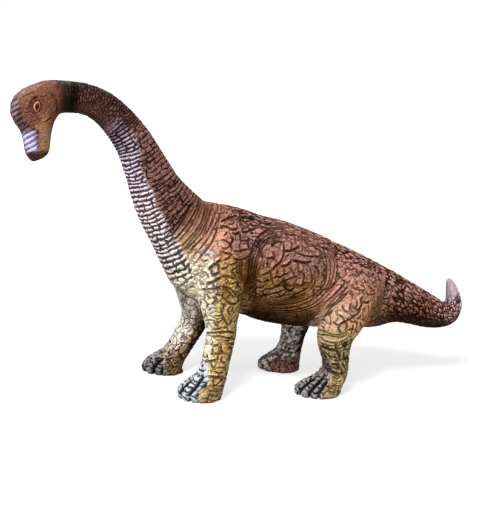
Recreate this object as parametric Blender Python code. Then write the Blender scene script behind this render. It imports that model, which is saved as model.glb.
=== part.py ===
"""Toy sauropod figure: eight hollow soft-vinyl castings joined by flanged plugs.

Head towards -X, the animal's left side towards -Y, soles on z = 0. Lengths in metres.
Each casting is a loft through elliptical sections. A casting ends in a flat seam face, and a plug
with a retaining lip stands on that face and passes through a round socket in its neighbour.
"""
import bpy
import bmesh
from collections import namedtuple
from math import cos, pi, radians, sin
from mathutils import Vector

# Driving sizes of the body
BODY_LENGTH = 0.2115          # neck seam centre to tail seam centre, along X
BODY_HEIGHT = 0.119           # hind knee seam up to the withers
BODY_WIDTH = 0.094            # widest, at the ribs
LEG_SPACING = 0.072           # left sole centre to right sole centre

# Driving sizes of the neck, head and tail
NECK_REACH = 0.105            # neck seam centre forward to the head seam centre
NECK_RISE = 0.103             # neck seam centre up to the head seam centre
HEAD_REACH = 0.0488           # head seam forward to the forehead
HEAD_DROP = 0.0568            # head seam centre down to the snout's tip
HEAD_WIDTH = 0.034
TAIL_REACH = 0.108            # tail seam centre back to the curl
TAIL_DEPTH = 0.064            # scale of the tail's outline up and down

# Driving sizes of the legs
HIND_LEG_LENGTH = 0.056       # ground to the hind knee seam
FORE_SEAM_RISE = 0.004        # fore knee seam above the hind one
FORE_KNEE_DEPTH = 0.0275      # fore and aft size at the seam
HIND_KNEE_DEPTH = 0.036
FORE_FOOT_LENGTH = 0.043
HIND_FOOT_LENGTH = 0.0465
FOOT_WIDTH = 0.035
SOLE_ROUNDING = 0.0020
TOE_GROOVE_DEPTH = 0.0022

# Stance: how far each knee to ankle leans forward, and how far the foot reaches ahead of the ankle
FORE_LEFT_LEAN, FORE_LEFT_REACH = 0.0030, 0.0112
FORE_RIGHT_LEAN, FORE_RIGHT_REACH = 0.0120, 0.0160
HIND_LEFT_LEAN, HIND_LEFT_REACH = -0.0030, 0.0145
HIND_RIGHT_LEAN, HIND_RIGHT_REACH = 0.0025, 0.0105
HIND_RIGHT_KNEE_STEP = 0.0075  # right hind knee ahead of the left one

# Casting and joint sizes
WALL = 0.0028
CLEARANCE = 0.0003            # free gap at each seam face, round each plug and behind each lip
NECK_SOCKET_RADIUS = 0.0185
TAIL_SOCKET_RADIUS = 0.0175
HEAD_SOCKET_RADIUS = 0.0068
FORE_SOCKET_RADIUS = 0.0074
HIND_SOCKET_RADIUS = 0.0092
PLUG_WALL = 0.0022
LIP_OVERHANG = 0.0012         # how far the lip stands out past its socket's edge
LIP_THICKNESS = 0.0016
LIP_TAPER_LENGTH = 0.0018

# Facets round each section, and how strongly a leg's points crowd towards its toes
BODY_SIDES = 28
SLIM_SIDES = 24
LEG_SIDES = 26
SOCKET_SIDES = 32
TORSO_RINGS = 18
LIMB_RINGS = 9
NECK_RINGS = 15
HEAD_RINGS = 16
TAIL_RINGS = 17
LEG_RINGS = 11
SHARP_DEGREES = 40
TOE_CROWDING_SHARE = 0.5

# Paint of the castings, linear RGB, and how rough the vinyl is
LEG_COLOUR = (0.42, 0.33, 0.14)
TORSO_COLOUR = (0.36, 0.19, 0.15)
NECK_COLOUR = (0.40, 0.28, 0.25)
HEAD_COLOUR = (0.34, 0.17, 0.12)
TAIL_COLOUR = (0.33, 0.18, 0.15)
SKIN_ROUGHNESS = 0.5
HEAD_ROUGHNESS = 0.45

LEFT, RIGHT = -1, 1
UP = Vector((0, 0, 1))

# A flat elliptical section: the ends a and b of its axis in the XZ plane, the centre's y, the half width
# across, and how much narrower its a side is
Section = namedtuple("Section", "ax az bx bz y half_width narrowing")

# A leg: its upper limb belongs to the torso, its lower leg is a casting of its own
Leg = namedtuple(
    "Leg", "name side knee_x seam_z top_z knee_depth upper lower foot_length lean reach socket_radius")

# Torso: top x and z, bottom x and z, half width, narrowing towards the back. Shares of BODY_LENGTH from the
# neck seam, of BODY_HEIGHT above the hind knee seam, and of BODY_WIDTH.
TORSO_SHARES = [
    (0.108, 0.985, -0.108, 0.655, 0.290, 0.00),
    (0.170, 0.966, -0.055, 0.480, 0.350, 0.04),
    (0.246, 0.956, 0.022, 0.310, 0.415, 0.08),
    (0.322, 0.936, 0.170, 0.182, 0.458, 0.10),
    (0.407, 0.904, 0.322, 0.124, 0.489, 0.12),
    (0.511, 0.862, 0.478, 0.052, 0.500, 0.12),
    (0.615, 0.805, 0.605, 0.024, 0.500, 0.12),
    (0.719, 0.742, 0.719, 0.020, 0.479, 0.12),
    (0.813, 0.680, 0.827, 0.015, 0.436, 0.10),
    (0.898, 0.620, 0.927, 0.005, 0.383, 0.06),
    (0.983, 0.560, 1.017, -0.005, 0.330, 0.00),
]

# Neck: centre forward in shares of NECK_REACH, centre up of NECK_RISE, radius of the seam's thickness.
NECK_SHARES = [
    (0.148, 0.179, 0.428),
    (0.230, 0.304, 0.376),
    (0.298, 0.431, 0.335),
    (0.370, 0.554, 0.301),
    (0.443, 0.676, 0.273),
    (0.538, 0.789, 0.253),
    (0.632, 0.878, 0.240),
    (0.737, 0.950, 0.226),
    (0.862, 0.996, 0.216),
    (1.000, 1.000, 0.220),
]

# Head: top forward and up, bottom forward and up, half width. Shares of HEAD_REACH, HEAD_DROP and
# HEAD_WIDTH.
HEAD_SHARES = [
    (0.170, 0.228, 0.138, -0.253, 0.412),
    (0.404, 0.210, 0.181, -0.307, 0.456),
    (0.638, 0.127, 0.223, -0.380, 0.500),
    (0.851, 0.009, 0.240, -0.452, 0.500),
    (0.957, -0.145, 0.255, -0.542, 0.456),
    (0.957, -0.335, 0.262, -0.642, 0.397),
    (0.851, -0.515, 0.266, -0.741, 0.347),
    (0.745, -0.687, 0.277, -0.823, 0.324),
    (0.681, -0.850, 0.330, -0.899, 0.288),
    (0.617, -0.953, 0.426, -0.958, 0.191),
    (0.560, -1.000, 0.500, -1.000, 0.060),
]

# Tail: top back and up, bottom back and up, half width. Shares of TAIL_REACH, TAIL_DEPTH and the tail
# seam's half width.
TAIL_SHARES = [
    (0.116, 0.424, 0.163, -0.458, 0.900),
    (0.265, 0.303, 0.312, -0.448, 0.806),
    (0.433, 0.172, 0.452, -0.486, 0.677),
    (0.583, 0.049, 0.593, -0.530, 0.565),
    (0.704, -0.055, 0.732, -0.538, 0.468),
    (0.782, -0.115, 0.856, -0.494, 0.394),
    (0.803, -0.112, 0.930, -0.396, 0.348),
    (0.808, -0.070, 0.968, -0.232, 0.316),
    (0.801, 0.014, 0.958, -0.076, 0.277),
    (0.785, 0.131, 0.906, 0.096, 0.219),
    (0.777, 0.225, 0.852, 0.213, 0.145),
    (0.788, 0.280, 0.814, 0.276, 0.048),
]

# Upper limbs, from the seam up: height as a share of the limb's rise, centre aft of the knee as a share of
# BODY_LENGTH, half depth and half width as shares of the knee's depth, and how far in towards the body's
# middle the centre has moved, as a share of half LEG_SPACING.
ARM_TOP_SHARE = 0.62          # of BODY_HEIGHT, above the hind knee seam
ARM_KNEE_SHARE = 0.189        # of BODY_LENGTH, aft of the neck seam
ARM_SHARES = [
    (0.00, 0.000, 0.500, 0.500, 0.00),
    (0.16, -0.008, 0.525, 0.530, 0.00),
    (0.30, -0.015, 0.600, 0.590, 0.01),
    (0.45, -0.022, 0.705, 0.645, 0.03),
    (0.58, -0.027, 0.775, 0.660, 0.06),
    (0.80, -0.028, 0.760, 0.590, 0.14),
    (1.00, -0.028, 0.560, 0.400, 0.26),
]
THIGH_TOP_SHARE = 0.52
THIGH_KNEE_SHARE = 0.736
THIGH_SHARES = [
    (0.00, 0.000, 0.500, 0.445, 0.00),
    (0.08, 0.008, 0.556, 0.460, 0.00),
    (0.20, 0.019, 0.611, 0.470, 0.01),
    (0.39, 0.039, 0.625, 0.485, 0.05),
    (0.60, 0.054, 0.631, 0.500, 0.11),
    (0.85, 0.071, 0.556, 0.400, 0.23),
    (1.00, 0.090, 0.360, 0.250, 0.39),
]

# Lower legs, from the seam down: height as a share of the leg's length, half depth as a share of the foot's
# length, half width of the foot's width, share of the lean and of the foot's reach taken up at that height.
FORE_LEG_SHARES = [
    (0.83, 0.310, 0.375, 0.15, 0.00),
    (0.68, 0.316, 0.385, 0.50, 0.00),
    (0.55, 0.305, 0.372, 0.80, 0.00),
    (0.44, 0.308, 0.378, 1.00, 0.04),
    (0.33, 0.348, 0.412, 1.00, 0.28),
    (0.22, 0.442, 0.460, 1.00, 0.74),
    (0.12, 0.500, 0.495, 1.00, 1.00),
    (0.05, 0.498, 0.500, 1.00, 1.00),
]
HIND_LEG_SHARES = [
    (0.87, 0.352, 0.425, 0.10, 0.00),
    (0.72, 0.320, 0.400, 0.40, 0.00),
    (0.58, 0.298, 0.385, 0.75, 0.00),
    (0.45, 0.292, 0.380, 1.00, 0.00),
    (0.32, 0.335, 0.415, 1.00, 0.20),
    (0.21, 0.430, 0.460, 1.00, 0.66),
    (0.11, 0.500, 0.497, 1.00, 1.00),
    (0.05, 0.498, 0.500, 1.00, 1.00),
]
TOE_COUNT = 5
TOE_SPACING_DEGREES = 28
TOE_TOP_SHARE = 0.42          # of the leg's length: where the grooves between the toes run out


def blend(sections, count):
    """Catmull-Rom through the listed sections, resampled to count evenly spaced sections."""
    spans = len(sections) - 1
    result = []
    for step in range(count):
        place = spans * step / (count - 1)
        first = min(int(place), spans - 1)
        t = place - first
        p0 = sections[max(first - 1, 0)]
        p1, p2 = sections[first], sections[first + 1]
        p3 = sections[min(first + 2, spans)]
        values = []
        for a, b, c, d in zip(p0, p1, p2, p3):
            line = (c - a) * t
            square = (2 * a - 5 * b + 4 * c - d) * t ** 2
            cube = (3 * b - a - 3 * c + d) * t ** 3
            values.append((2 * b + line + square + cube) / 2)
        result.append(Section(*values))
    return result


def frame_of(section):
    """Centre of a section, its axis from b towards a, its axis across, and half the length from b to a."""
    a = Vector((section.ax, section.y, section.az))
    b = Vector((section.bx, section.y, section.bz))
    return (a + b) / 2, (a - b).normalized(), Vector((0, 1, 0)), (a - b).length / 2


def ring(section, sides, inset=0.0, crowding=0.0):
    """Points round a section, starting at its a side; inset shrinks it by a wall."""
    centre, along, across, half = frame_of(section)
    points = []
    for i in range(sides):
        t = 2 * pi * i / sides
        t -= crowding * sin(t)
        width = (section.half_width - inset) * (1 - section.narrowing * cos(t))
        points.append(centre + along * (half - inset) * cos(t) + across * width * sin(t))
    return points


def circle(section, sides, radius, direction, distance, crowding=0.0):
    """A round ring in the section's plane, moved by distance along direction."""
    centre, along, across, _ = frame_of(section)
    points = []
    for i in range(sides):
        t = 2 * pi * i / sides
        t -= crowding * sin(t)
        points.append(centre + direction * distance + (along * cos(t) + across * sin(t)) * radius)
    return points


def moved(points, offset):
    return [p + offset for p in points]


def out_of(section, towards):
    """Unit normal of a section's plane, on the side where towards lies."""
    centre, along, across, _ = frame_of(section)
    normal = along.cross(across)
    return normal if normal.dot(towards - centre) > 0 else -normal


def plug_rings(section, sides, socket_radius, direction, crowding=0.0):
    """Rings of a plug, from its root on the seam face, over the lip, and back down the bore."""
    radius = socket_radius - CLEARANCE
    lip = socket_radius + LIP_OVERHANG
    bore = radius - PLUG_WALL
    seat = WALL + CLEARANCE
    lip_end = seat + LIP_THICKNESS
    tip = lip_end + LIP_TAPER_LENGTH
    root = -CLEARANCE
    profile = [(radius, root), (radius, seat), (lip, seat), (lip, lip_end), (radius, tip), (bore, tip)]
    return [circle(section, sides, r, direction, d, crowding) for r, d in profile]


def make_mesh(name, rings, looped):
    """Skin a chain of rings. A chain that isn't looped is closed by a face at each end."""
    mesh = bpy.data.meshes.new(name)
    work = bmesh.new()
    rows = [[work.verts.new(p) for p in points] for points in rings]
    pairs = list(zip(rows, rows[1:]))
    if looped:
        pairs.append((rows[-1], rows[0]))
    else:
        work.faces.new(rows[0])
        work.faces.new(rows[-1])
    for lower, upper in pairs:
        for i in range(len(lower)):
            j = (i + 1) % len(lower)
            work.faces.new((lower[i], lower[j], upper[j], upper[i]))
    bmesh.ops.recalc_face_normals(work, faces=work.faces)
    work.to_mesh(mesh)
    work.free()
    mesh.shade_smooth()
    mesh.set_sharp_from_angle(angle=radians(SHARP_DEGREES))
    return mesh


def make_piece(name, rings, looped=False):
    piece = bpy.data.objects.new(name, make_mesh(name, rings, looped))
    bpy.context.scene.collection.objects.link(piece)
    return piece


def make_cutter(name, rings):
    cutter = make_piece(name, rings)
    cutter.hide_render = True
    cutter.display_type = "WIRE"
    return cutter


def combine(target, other, operation):
    step = target.modifiers.new(operation.lower() + "_" + other.name, "BOOLEAN")
    step.operation = operation
    step.solver = "EXACT"
    step.object = other


def paint(piece, colour, roughness):
    material = bpy.data.materials.new(piece.name + "_vinyl")
    material.use_nodes = True
    shader = material.node_tree.nodes["Principled BSDF"]
    shader.inputs["Base Color"].default_value = (*colour, 1)
    shader.inputs["Roughness"].default_value = roughness
    shader.inputs["Metallic"].default_value = 0
    piece.data.materials.append(material)


def torso_sections():
    rows = []
    for top_x, top_z, bottom_x, bottom_z, half_width, narrowing in TORSO_SHARES:
        rows.append(Section(
            top_x * BODY_LENGTH, HIND_LEG_LENGTH + top_z * BODY_HEIGHT,
            bottom_x * BODY_LENGTH, HIND_LEG_LENGTH + bottom_z * BODY_HEIGHT,
            0, half_width * BODY_WIDTH, narrowing))
    return rows


def neck_sections():
    """From the torso's first section to the head seam; each section square to the neck's path."""
    root = torso_sections()[0]
    start, along, _, half = frame_of(root)
    centres = [start] + [
        start + Vector((-forward * NECK_REACH, 0, up * NECK_RISE)) for forward, up, _ in NECK_SHARES
    ]
    rows = [root]
    for i in range(1, len(centres)):
        path = centres[min(i + 1, len(centres) - 1)] - centres[i - 1]
        across_path = Vector((path.z, 0, -path.x)).normalized()
        if i == len(centres) - 1:
            across_path = Vector((0, 0, 1))
        radius = NECK_SHARES[i - 1][2] * 2 * half
        top = centres[i] + across_path * radius
        bottom = centres[i] - across_path * radius
        rows.append(Section(top.x, top.z, bottom.x, bottom.z, 0, radius, 0))
    return rows


def head_sections():
    seam = neck_sections()[-1]
    start, _, _, _ = frame_of(seam)
    rows = [seam]
    for top_x, top_z, bottom_x, bottom_z, half_width in HEAD_SHARES:
        rows.append(Section(
            start.x - top_x * HEAD_REACH, start.z + top_z * HEAD_DROP,
            start.x - bottom_x * HEAD_REACH, start.z + bottom_z * HEAD_DROP,
            0, half_width * HEAD_WIDTH, 0))
    return rows


def tail_sections():
    seam = torso_sections()[-1]
    start, _, _, _ = frame_of(seam)
    rows = [seam]
    for top_x, top_z, bottom_x, bottom_z, half_width in TAIL_SHARES:
        rows.append(Section(
            start.x + top_x * TAIL_REACH, start.z + top_z * TAIL_DEPTH,
            start.x + bottom_x * TAIL_REACH, start.z + bottom_z * TAIL_DEPTH,
            0, half_width * seam.half_width, 0))
    return rows


def limb_sections(leg):
    """Upper limb from its knee seam up into the body."""
    rows = []
    for height, aft, half_depth, half_width, inward in leg.upper:
        x = leg.knee_x + aft * BODY_LENGTH
        z = leg.seam_z + height * (leg.top_z - leg.seam_z)
        y = leg.side * LEG_SPACING / 2 * (1 - inward)
        depth = half_depth * leg.knee_depth
        rows.append(Section(x - depth, z, x + depth, z, y, half_width * leg.knee_depth, 0))
    return rows


def leg_sections(leg, seam):
    """Lower leg from the knee seam down to the edge of the sole."""
    centre, _, _, _ = frame_of(seam)
    rows = [seam]
    for height, half_depth, half_width, leaned, reached in leg.lower:
        x = centre.x - leaned * leg.lean - reached * leg.reach
        depth = half_depth * leg.foot_length
        rows.append(Section(
            x - depth, height * centre.z, x + depth, height * centre.z,
            centre.y, half_width * FOOT_WIDTH, 0))
    return rows


def toe_ring(section, leg_length, inset=0.0):
    """A leg's ring, with the grooves between the toes cut into its front below the ankle."""
    points = ring(section, LEG_SIDES, inset, TOE_CROWDING_SHARE)
    fade = max(0, 1 - section.az / (TOE_TOP_SHARE * leg_length))
    if fade == 0:
        return points
    centre, _, _, _ = frame_of(section)
    spacing = radians(TOE_SPACING_DEGREES)
    grooved = []
    for point in points:
        arm = point - centre
        angle = Vector((-arm.x, arm.y)).angle_signed(Vector((1, 0)), 0)
        within = abs(angle) < spacing * TOE_COUNT / 2
        lobe = abs(cos(pi * angle / spacing)) if within else 1
        grooved.append(point - arm.normalized() * TOE_GROOVE_DEPTH * (1 - lobe) * fade ** 0.5)
    return grooved


def inner_sections(sections, every):
    """Sections that a casting's hollow runs through: those deep enough for a wall on each side."""
    kept = []
    for section in sections[every::every]:
        _, _, _, half = frame_of(section)
        if min(half, section.half_width) < 2 * WALL:
            break
        kept.append(section)
    return kept


def closed_casting(name, sections, sides, socket_radius):
    """A casting with one plug: closed skin, plug, bore and blind hollow in one chain of rings."""
    seam = sections[0]
    inward = -out_of(seam, frame_of(sections[1])[0])
    rings = [ring(s, sides) for s in reversed(sections[1:])]
    rings.append(moved(ring(seam, sides), -inward * CLEARANCE))
    rings += plug_rings(seam, sides, socket_radius, inward)
    bore = socket_radius - CLEARANCE - PLUG_WALL
    rings.append(circle(seam, sides, bore, inward, -(CLEARANCE + WALL)))
    rings.append(moved(ring(seam, sides, WALL), -inward * (CLEARANCE + WALL)))
    rings += [ring(s, sides, WALL) for s in inner_sections(sections, 2)]
    return make_piece(name, rings)


def build_neck():
    """A tube with a plug at the body end and a socket at the head end, as one looped chain."""
    sections = blend(neck_sections(), NECK_RINGS)
    root, end = sections[0], sections[-1]
    inward = -out_of(root, frame_of(sections[1])[0])
    back = out_of(end, frame_of(sections[-2])[0])
    rings = [circle(end, SLIM_SIDES, HEAD_SOCKET_RADIUS, back, 0)]
    rings += [ring(s, SLIM_SIDES) for s in reversed(sections[1:])]
    rings.append(moved(ring(root, SLIM_SIDES), -inward * CLEARANCE))
    rings += plug_rings(root, SLIM_SIDES, NECK_SOCKET_RADIUS, inward)
    bore = NECK_SOCKET_RADIUS - CLEARANCE - PLUG_WALL
    rings.append(circle(root, SLIM_SIDES, bore, inward, -(CLEARANCE + WALL)))
    rings.append(moved(ring(root, SLIM_SIDES, WALL), -inward * (CLEARANCE + WALL)))
    rings += [ring(s, SLIM_SIDES, WALL) for s in sections[2:-1:2]]
    rings.append(moved(ring(end, SLIM_SIDES, WALL), back * WALL))
    rings.append(circle(end, SLIM_SIDES, HEAD_SOCKET_RADIUS, back, WALL))
    return make_piece("neck_shell", rings, looped=True)


def build_leg(leg, seam):
    """Lower leg: flat sole, toes, hollow shank and the plug on its knee seam."""
    sections = blend(leg_sections(leg, seam), LEG_RINGS)
    length = seam.az
    low = sections[-1]
    sole = moved(toe_ring(low, length, SOLE_ROUNDING), -UP * low.az)
    rings = [sole]
    rings += [toe_ring(s, length) for s in reversed(sections[1:])]
    rings.append(moved(ring(seam, LEG_SIDES, 0, TOE_CROWDING_SHARE), -UP * CLEARANCE))
    rings += plug_rings(seam, LEG_SIDES, leg.socket_radius, UP, TOE_CROWDING_SHARE)
    bore = leg.socket_radius - CLEARANCE - PLUG_WALL
    rings.append(circle(seam, LEG_SIDES, bore, UP, -(CLEARANCE + WALL), TOE_CROWDING_SHARE))
    rings.append(moved(ring(seam, LEG_SIDES, WALL, TOE_CROWDING_SHARE), -UP * (CLEARANCE + WALL)))
    for section in sections[2:-1:2]:
        if section.az > WALL + SOLE_ROUNDING:
            grooved = section.az <= TOE_TOP_SHARE * length
            inset = WALL + TOE_GROOVE_DEPTH if grooved else WALL
            rings.append(ring(section, LEG_SIDES, inset, TOE_CROWDING_SHARE))
    return make_piece(leg.name, rings)


def build_limb(name, sections, inset, rise):
    """Closed upper limb, or with an inset and a raised end the hollow inside it."""
    rings = [moved(ring(sections[0], SLIM_SIDES, inset), UP * rise)]
    rings += [ring(s, SLIM_SIDES, inset) for s in sections[1:]]
    return make_cutter(name, rings)


def build_torso(limbs):
    """Trunk and upper limbs fused, hollowed to the wall, and pierced by the six sockets."""
    sections = blend(torso_sections(), TORSO_RINGS)
    torso = make_piece("torso_shell", [ring(s, BODY_SIDES) for s in sections])
    front, rear = sections[0], sections[-1]
    into_front = out_of(front, frame_of(sections[1])[0])
    into_rear = out_of(rear, frame_of(sections[-2])[0])
    hollow_rings = [moved(ring(front, BODY_SIDES, WALL), into_front * WALL)]
    hollow_rings += [ring(s, BODY_SIDES, WALL) for s in sections[2:-2:2]]
    hollow_rings.append(moved(ring(rear, BODY_SIDES, WALL), into_rear * WALL))
    hollow = make_cutter("torso_hollow", hollow_rings)
    sockets = [
        ("neck_socket", front, NECK_SOCKET_RADIUS, into_front),
        ("tail_socket", rear, TAIL_SOCKET_RADIUS, into_rear),
    ]
    for name, limb, socket_radius in limbs:
        combine(torso, build_limb(name + "_form", limb, 0, 0), "UNION")
        combine(hollow, build_limb(name + "_hollow", limb, WALL, WALL), "UNION")
        sockets.append((name + "_socket", limb[0], socket_radius, UP))
    combine(torso, hollow, "DIFFERENCE")
    for name, seam, radius, direction in sockets:
        reach = 2 * WALL
        ends = [circle(seam, SOCKET_SIDES, radius, direction, d) for d in (-reach, reach)]
        combine(torso, make_cutter(name, ends), "DIFFERENCE")
    return torso


def set_down(pieces):
    """Centre the figure over the origin, standing on z = 0."""
    points = [p.matrix_world @ v.co for p in pieces for v in p.data.vertices]
    middle_x = (min(p.x for p in points) + max(p.x for p in points)) / 2
    middle_y = (min(p.y for p in points) + max(p.y for p in points)) / 2
    for item in bpy.context.scene.objects:
        if item.type == "MESH":
            item.location -= Vector((middle_x, middle_y, 0))


def leg_list():
    fore = dict(
        upper=ARM_SHARES, lower=FORE_LEG_SHARES, seam_z=HIND_LEG_LENGTH + FORE_SEAM_RISE,
        top_z=HIND_LEG_LENGTH + ARM_TOP_SHARE * BODY_HEIGHT, knee_depth=FORE_KNEE_DEPTH,
        foot_length=FORE_FOOT_LENGTH, socket_radius=FORE_SOCKET_RADIUS)
    hind = dict(
        upper=THIGH_SHARES, lower=HIND_LEG_SHARES, seam_z=HIND_LEG_LENGTH,
        top_z=HIND_LEG_LENGTH + THIGH_TOP_SHARE * BODY_HEIGHT, knee_depth=HIND_KNEE_DEPTH,
        foot_length=HIND_FOOT_LENGTH, socket_radius=HIND_SOCKET_RADIUS)
    arm_x = ARM_KNEE_SHARE * BODY_LENGTH
    thigh_x = THIGH_KNEE_SHARE * BODY_LENGTH
    return [
        Leg(name="fore_leg_left", side=LEFT, knee_x=arm_x,
            lean=FORE_LEFT_LEAN, reach=FORE_LEFT_REACH, **fore),
        Leg(name="fore_leg_right", side=RIGHT, knee_x=arm_x,
            lean=FORE_RIGHT_LEAN, reach=FORE_RIGHT_REACH, **fore),
        Leg(name="hind_leg_left", side=LEFT, knee_x=thigh_x,
            lean=HIND_LEFT_LEAN, reach=HIND_LEFT_REACH, **hind),
        Leg(name="hind_leg_right", side=RIGHT, knee_x=thigh_x - HIND_RIGHT_KNEE_STEP,
            lean=HIND_RIGHT_LEAN, reach=HIND_RIGHT_REACH, **hind),
    ]


def main():
    for old in list(bpy.data.objects):
        bpy.data.objects.remove(old, do_unlink=True)
    pieces = []
    limbs = []
    for leg in leg_list():
        limb = limb_sections(leg)
        limbs.append((leg.name, blend(limb, LIMB_RINGS), leg.socket_radius))
        shank = build_leg(leg, limb[0])
        paint(shank, LEG_COLOUR, SKIN_ROUGHNESS)
        pieces.append(shank)
    torso = build_torso(limbs)
    paint(torso, TORSO_COLOUR, SKIN_ROUGHNESS)
    neck = build_neck()
    paint(neck, NECK_COLOUR, SKIN_ROUGHNESS)
    head = closed_casting("head_shell", blend(head_sections(), HEAD_RINGS), SLIM_SIDES, HEAD_SOCKET_RADIUS)
    paint(head, HEAD_COLOUR, HEAD_ROUGHNESS)
    tail = closed_casting("tail_shell", blend(tail_sections(), TAIL_RINGS), SLIM_SIDES, TAIL_SOCKET_RADIUS)
    paint(tail, TAIL_COLOUR, SKIN_ROUGHNESS)
    pieces += [torso, neck, head, tail]
    set_down(pieces)


main()
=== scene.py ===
"""Finish of the toy sauropod.

The eight castings are fused into one outer skin, which is smoothed, sculpted and painted as one surface,
and cut again at the castings' seams, so that scales and folds run on across every seam. Lengths in
millimetres inside the skin's own functions, in metres on the scene's objects. Pixels are the photograph's,
u across and v down. The far side repeats the near one, so each of its points has a twin in the photograph.
"""

from collections import namedtuple
from contextlib import contextmanager

import bmesh
import bpy
import numpy as np
from mathutils import Matrix, Vector
from mathutils.bvhtree import BVHTree
from mathutils.kdtree import KDTree

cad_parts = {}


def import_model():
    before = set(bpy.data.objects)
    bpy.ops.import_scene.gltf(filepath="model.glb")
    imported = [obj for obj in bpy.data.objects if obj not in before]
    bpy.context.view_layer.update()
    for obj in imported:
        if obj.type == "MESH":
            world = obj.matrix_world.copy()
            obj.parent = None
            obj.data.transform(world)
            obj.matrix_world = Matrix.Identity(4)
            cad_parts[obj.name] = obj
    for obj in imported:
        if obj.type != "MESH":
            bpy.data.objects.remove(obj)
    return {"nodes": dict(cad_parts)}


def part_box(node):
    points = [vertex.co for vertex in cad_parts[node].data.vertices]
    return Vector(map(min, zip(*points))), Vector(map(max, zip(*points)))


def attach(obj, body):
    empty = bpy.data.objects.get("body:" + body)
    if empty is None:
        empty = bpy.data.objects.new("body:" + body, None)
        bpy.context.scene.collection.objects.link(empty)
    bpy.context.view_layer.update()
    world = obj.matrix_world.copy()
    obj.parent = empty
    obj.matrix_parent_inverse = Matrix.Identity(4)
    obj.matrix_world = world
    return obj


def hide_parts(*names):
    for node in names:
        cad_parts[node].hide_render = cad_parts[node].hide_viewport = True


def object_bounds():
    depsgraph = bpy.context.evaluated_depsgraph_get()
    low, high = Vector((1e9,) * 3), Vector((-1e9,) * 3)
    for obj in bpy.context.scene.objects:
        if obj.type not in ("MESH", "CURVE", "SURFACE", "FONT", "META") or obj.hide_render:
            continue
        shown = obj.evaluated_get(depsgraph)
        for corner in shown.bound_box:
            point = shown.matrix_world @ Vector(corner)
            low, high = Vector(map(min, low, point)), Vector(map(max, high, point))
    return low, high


MM = 0.001

# The photograph's frame and the camera that matches it
PHOTO_WIDTH, PHOTO_HEIGHT = 487, 512
CAMERA_AZIMUTH, CAMERA_ELEVATION, CAMERA_ROLL = -22.10, 11.73, 6.32
CAMERA_DISTANCE = 865.6
FOCAL_PIXELS = 926.9
LOOK_AT = (-14.5, 0.0, 124.4)
SENSOR_WIDTH = 36.0
CLIP_END = 100

# Making the skin
SEAM_OVERLAP = 0.40
VOXEL = 1.01
SMOOTH_ROUNDS = 20
SOLE_FLAT = 1.0

# Centreline from the snout to the tail's tip: x, z, radius
SPINE = [
    (-212, 203, 8), (-212, 214, 10), (-217, 229, 14), (-214, 244, 16), (-201, 254, 15), (-187, 257, 13.3),
    (-172, 256, 13.2), (-159, 251, 13.6), (-148, 244, 14.4), (-138, 235, 15.2), (-128, 223, 16.4),
    (-121, 211, 18), (-113, 198, 20), (-106, 185, 22.6), (-97, 172, 25.8), (-82, 154, 30), (-54, 131, 38),
    (-5, 117, 46), (47, 105, 47), (91, 97, 41), (129, 89, 33), (161, 84, 24), (193, 74, 16), (207, 70, 13.5),
    (218, 70, 12), (225, 79, 10), (224, 88, 8), (220, 97, 6), (216, 107, 3),
]
SPINE_STEP = 1.0
# Places on it where a pattern or a paint changes: x and z
SPINE_PLACES = {
    "nape": (-172, 256), "rib_top": (-152, 246), "upper_neck": (-133, 229), "mid_neck": (-121, 211),
    "seam_neck": (-82, 154), "chest": (-54, 131), "tail_root": (129, 89), "bend": (218, 70),
}

# Legs: how far they reach round their middle lines, and the heights between which they fade into the body
HALF_SPACING = 36.0
FORE_KNEE_X, HIND_KNEE_X = -42.0, 73.7
FORE_KNEE_Z, HIND_KNEE_Z = 60.0, 56.0
RIGHT_HIND_SHIFT = -7.5
LEG_NAMES = {"fore": ("fore_leg_left", "fore_leg_right"), "hind": ("hind_leg_left", "hind_leg_right")}
FORE_HIND_BORDER_X = 15
LEG_REACH = {"fore": 22, "hind": 27}
LEG_HALF_DEPTH = 24
LEG_LEAN_SHARE = {"fore": 0.0, "hind": 0.25}
LEG_WIDENING_SHARE, LEG_SPREAD_SHARE = 0.1, 0.16
LEG_FADE_Z = (78, 108)
LEG_SHIFT_FADE_Z = (110, 70)
LEG_ONLY_Z = 50
FIRST_LEVEL, LEVEL_STEP, LEVEL_HALF, TOP_GAP = 3, 4.0, 3.5, 6

# Seams between the castings: a point of the plane, its normal, and how far round the point the cut reaches
Seam = namedtuple("Seam", "place normal reach")
AHEAD, BEHIND, UP, DOWN, AHEAD_UP = (-1, 0, 0), (1, 0, 0), (0, 0, 1), (0, 0, -1), (-0.6, 0, 1)
SEAMS = [
    Seam((-187.0, 0, 256.8), (1, 0, 0), 26),
    Seam((-82.0, 0, 153.6), (39.3, 0, -45.6), 48),
    Seam((129.5, 0, 89.0), (67.2, 0, 7.2), 52),
    Seam((FORE_KNEE_X, -HALF_SPACING, FORE_KNEE_Z), UP, 22),
    Seam((FORE_KNEE_X, HALF_SPACING, FORE_KNEE_Z), UP, 22),
    Seam((HIND_KNEE_X, -HALF_SPACING, HIND_KNEE_Z), UP, 25),
    Seam((HIND_KNEE_X + RIGHT_HIND_SHIFT, HALF_SPACING, HIND_KNEE_Z), UP, 25),
]
SEAM_HALF_BAND = 3
SLOTS = {
    "head_shell": "head_vinyl", "neck_shell": "neck_vinyl", "torso_shell": "body_vinyl",
    "tail_shell": "tail_vinyl", "fore_leg_left": "leg_vinyl", "fore_leg_right": "leg_vinyl",
    "hind_leg_left": "leg_vinyl", "hind_leg_right": "leg_vinyl",
}

# Toes: angles from straight ahead of the grooves between them
TOE_GROOVES = (-70, -42, -14, 14, 42, 70)

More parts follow.
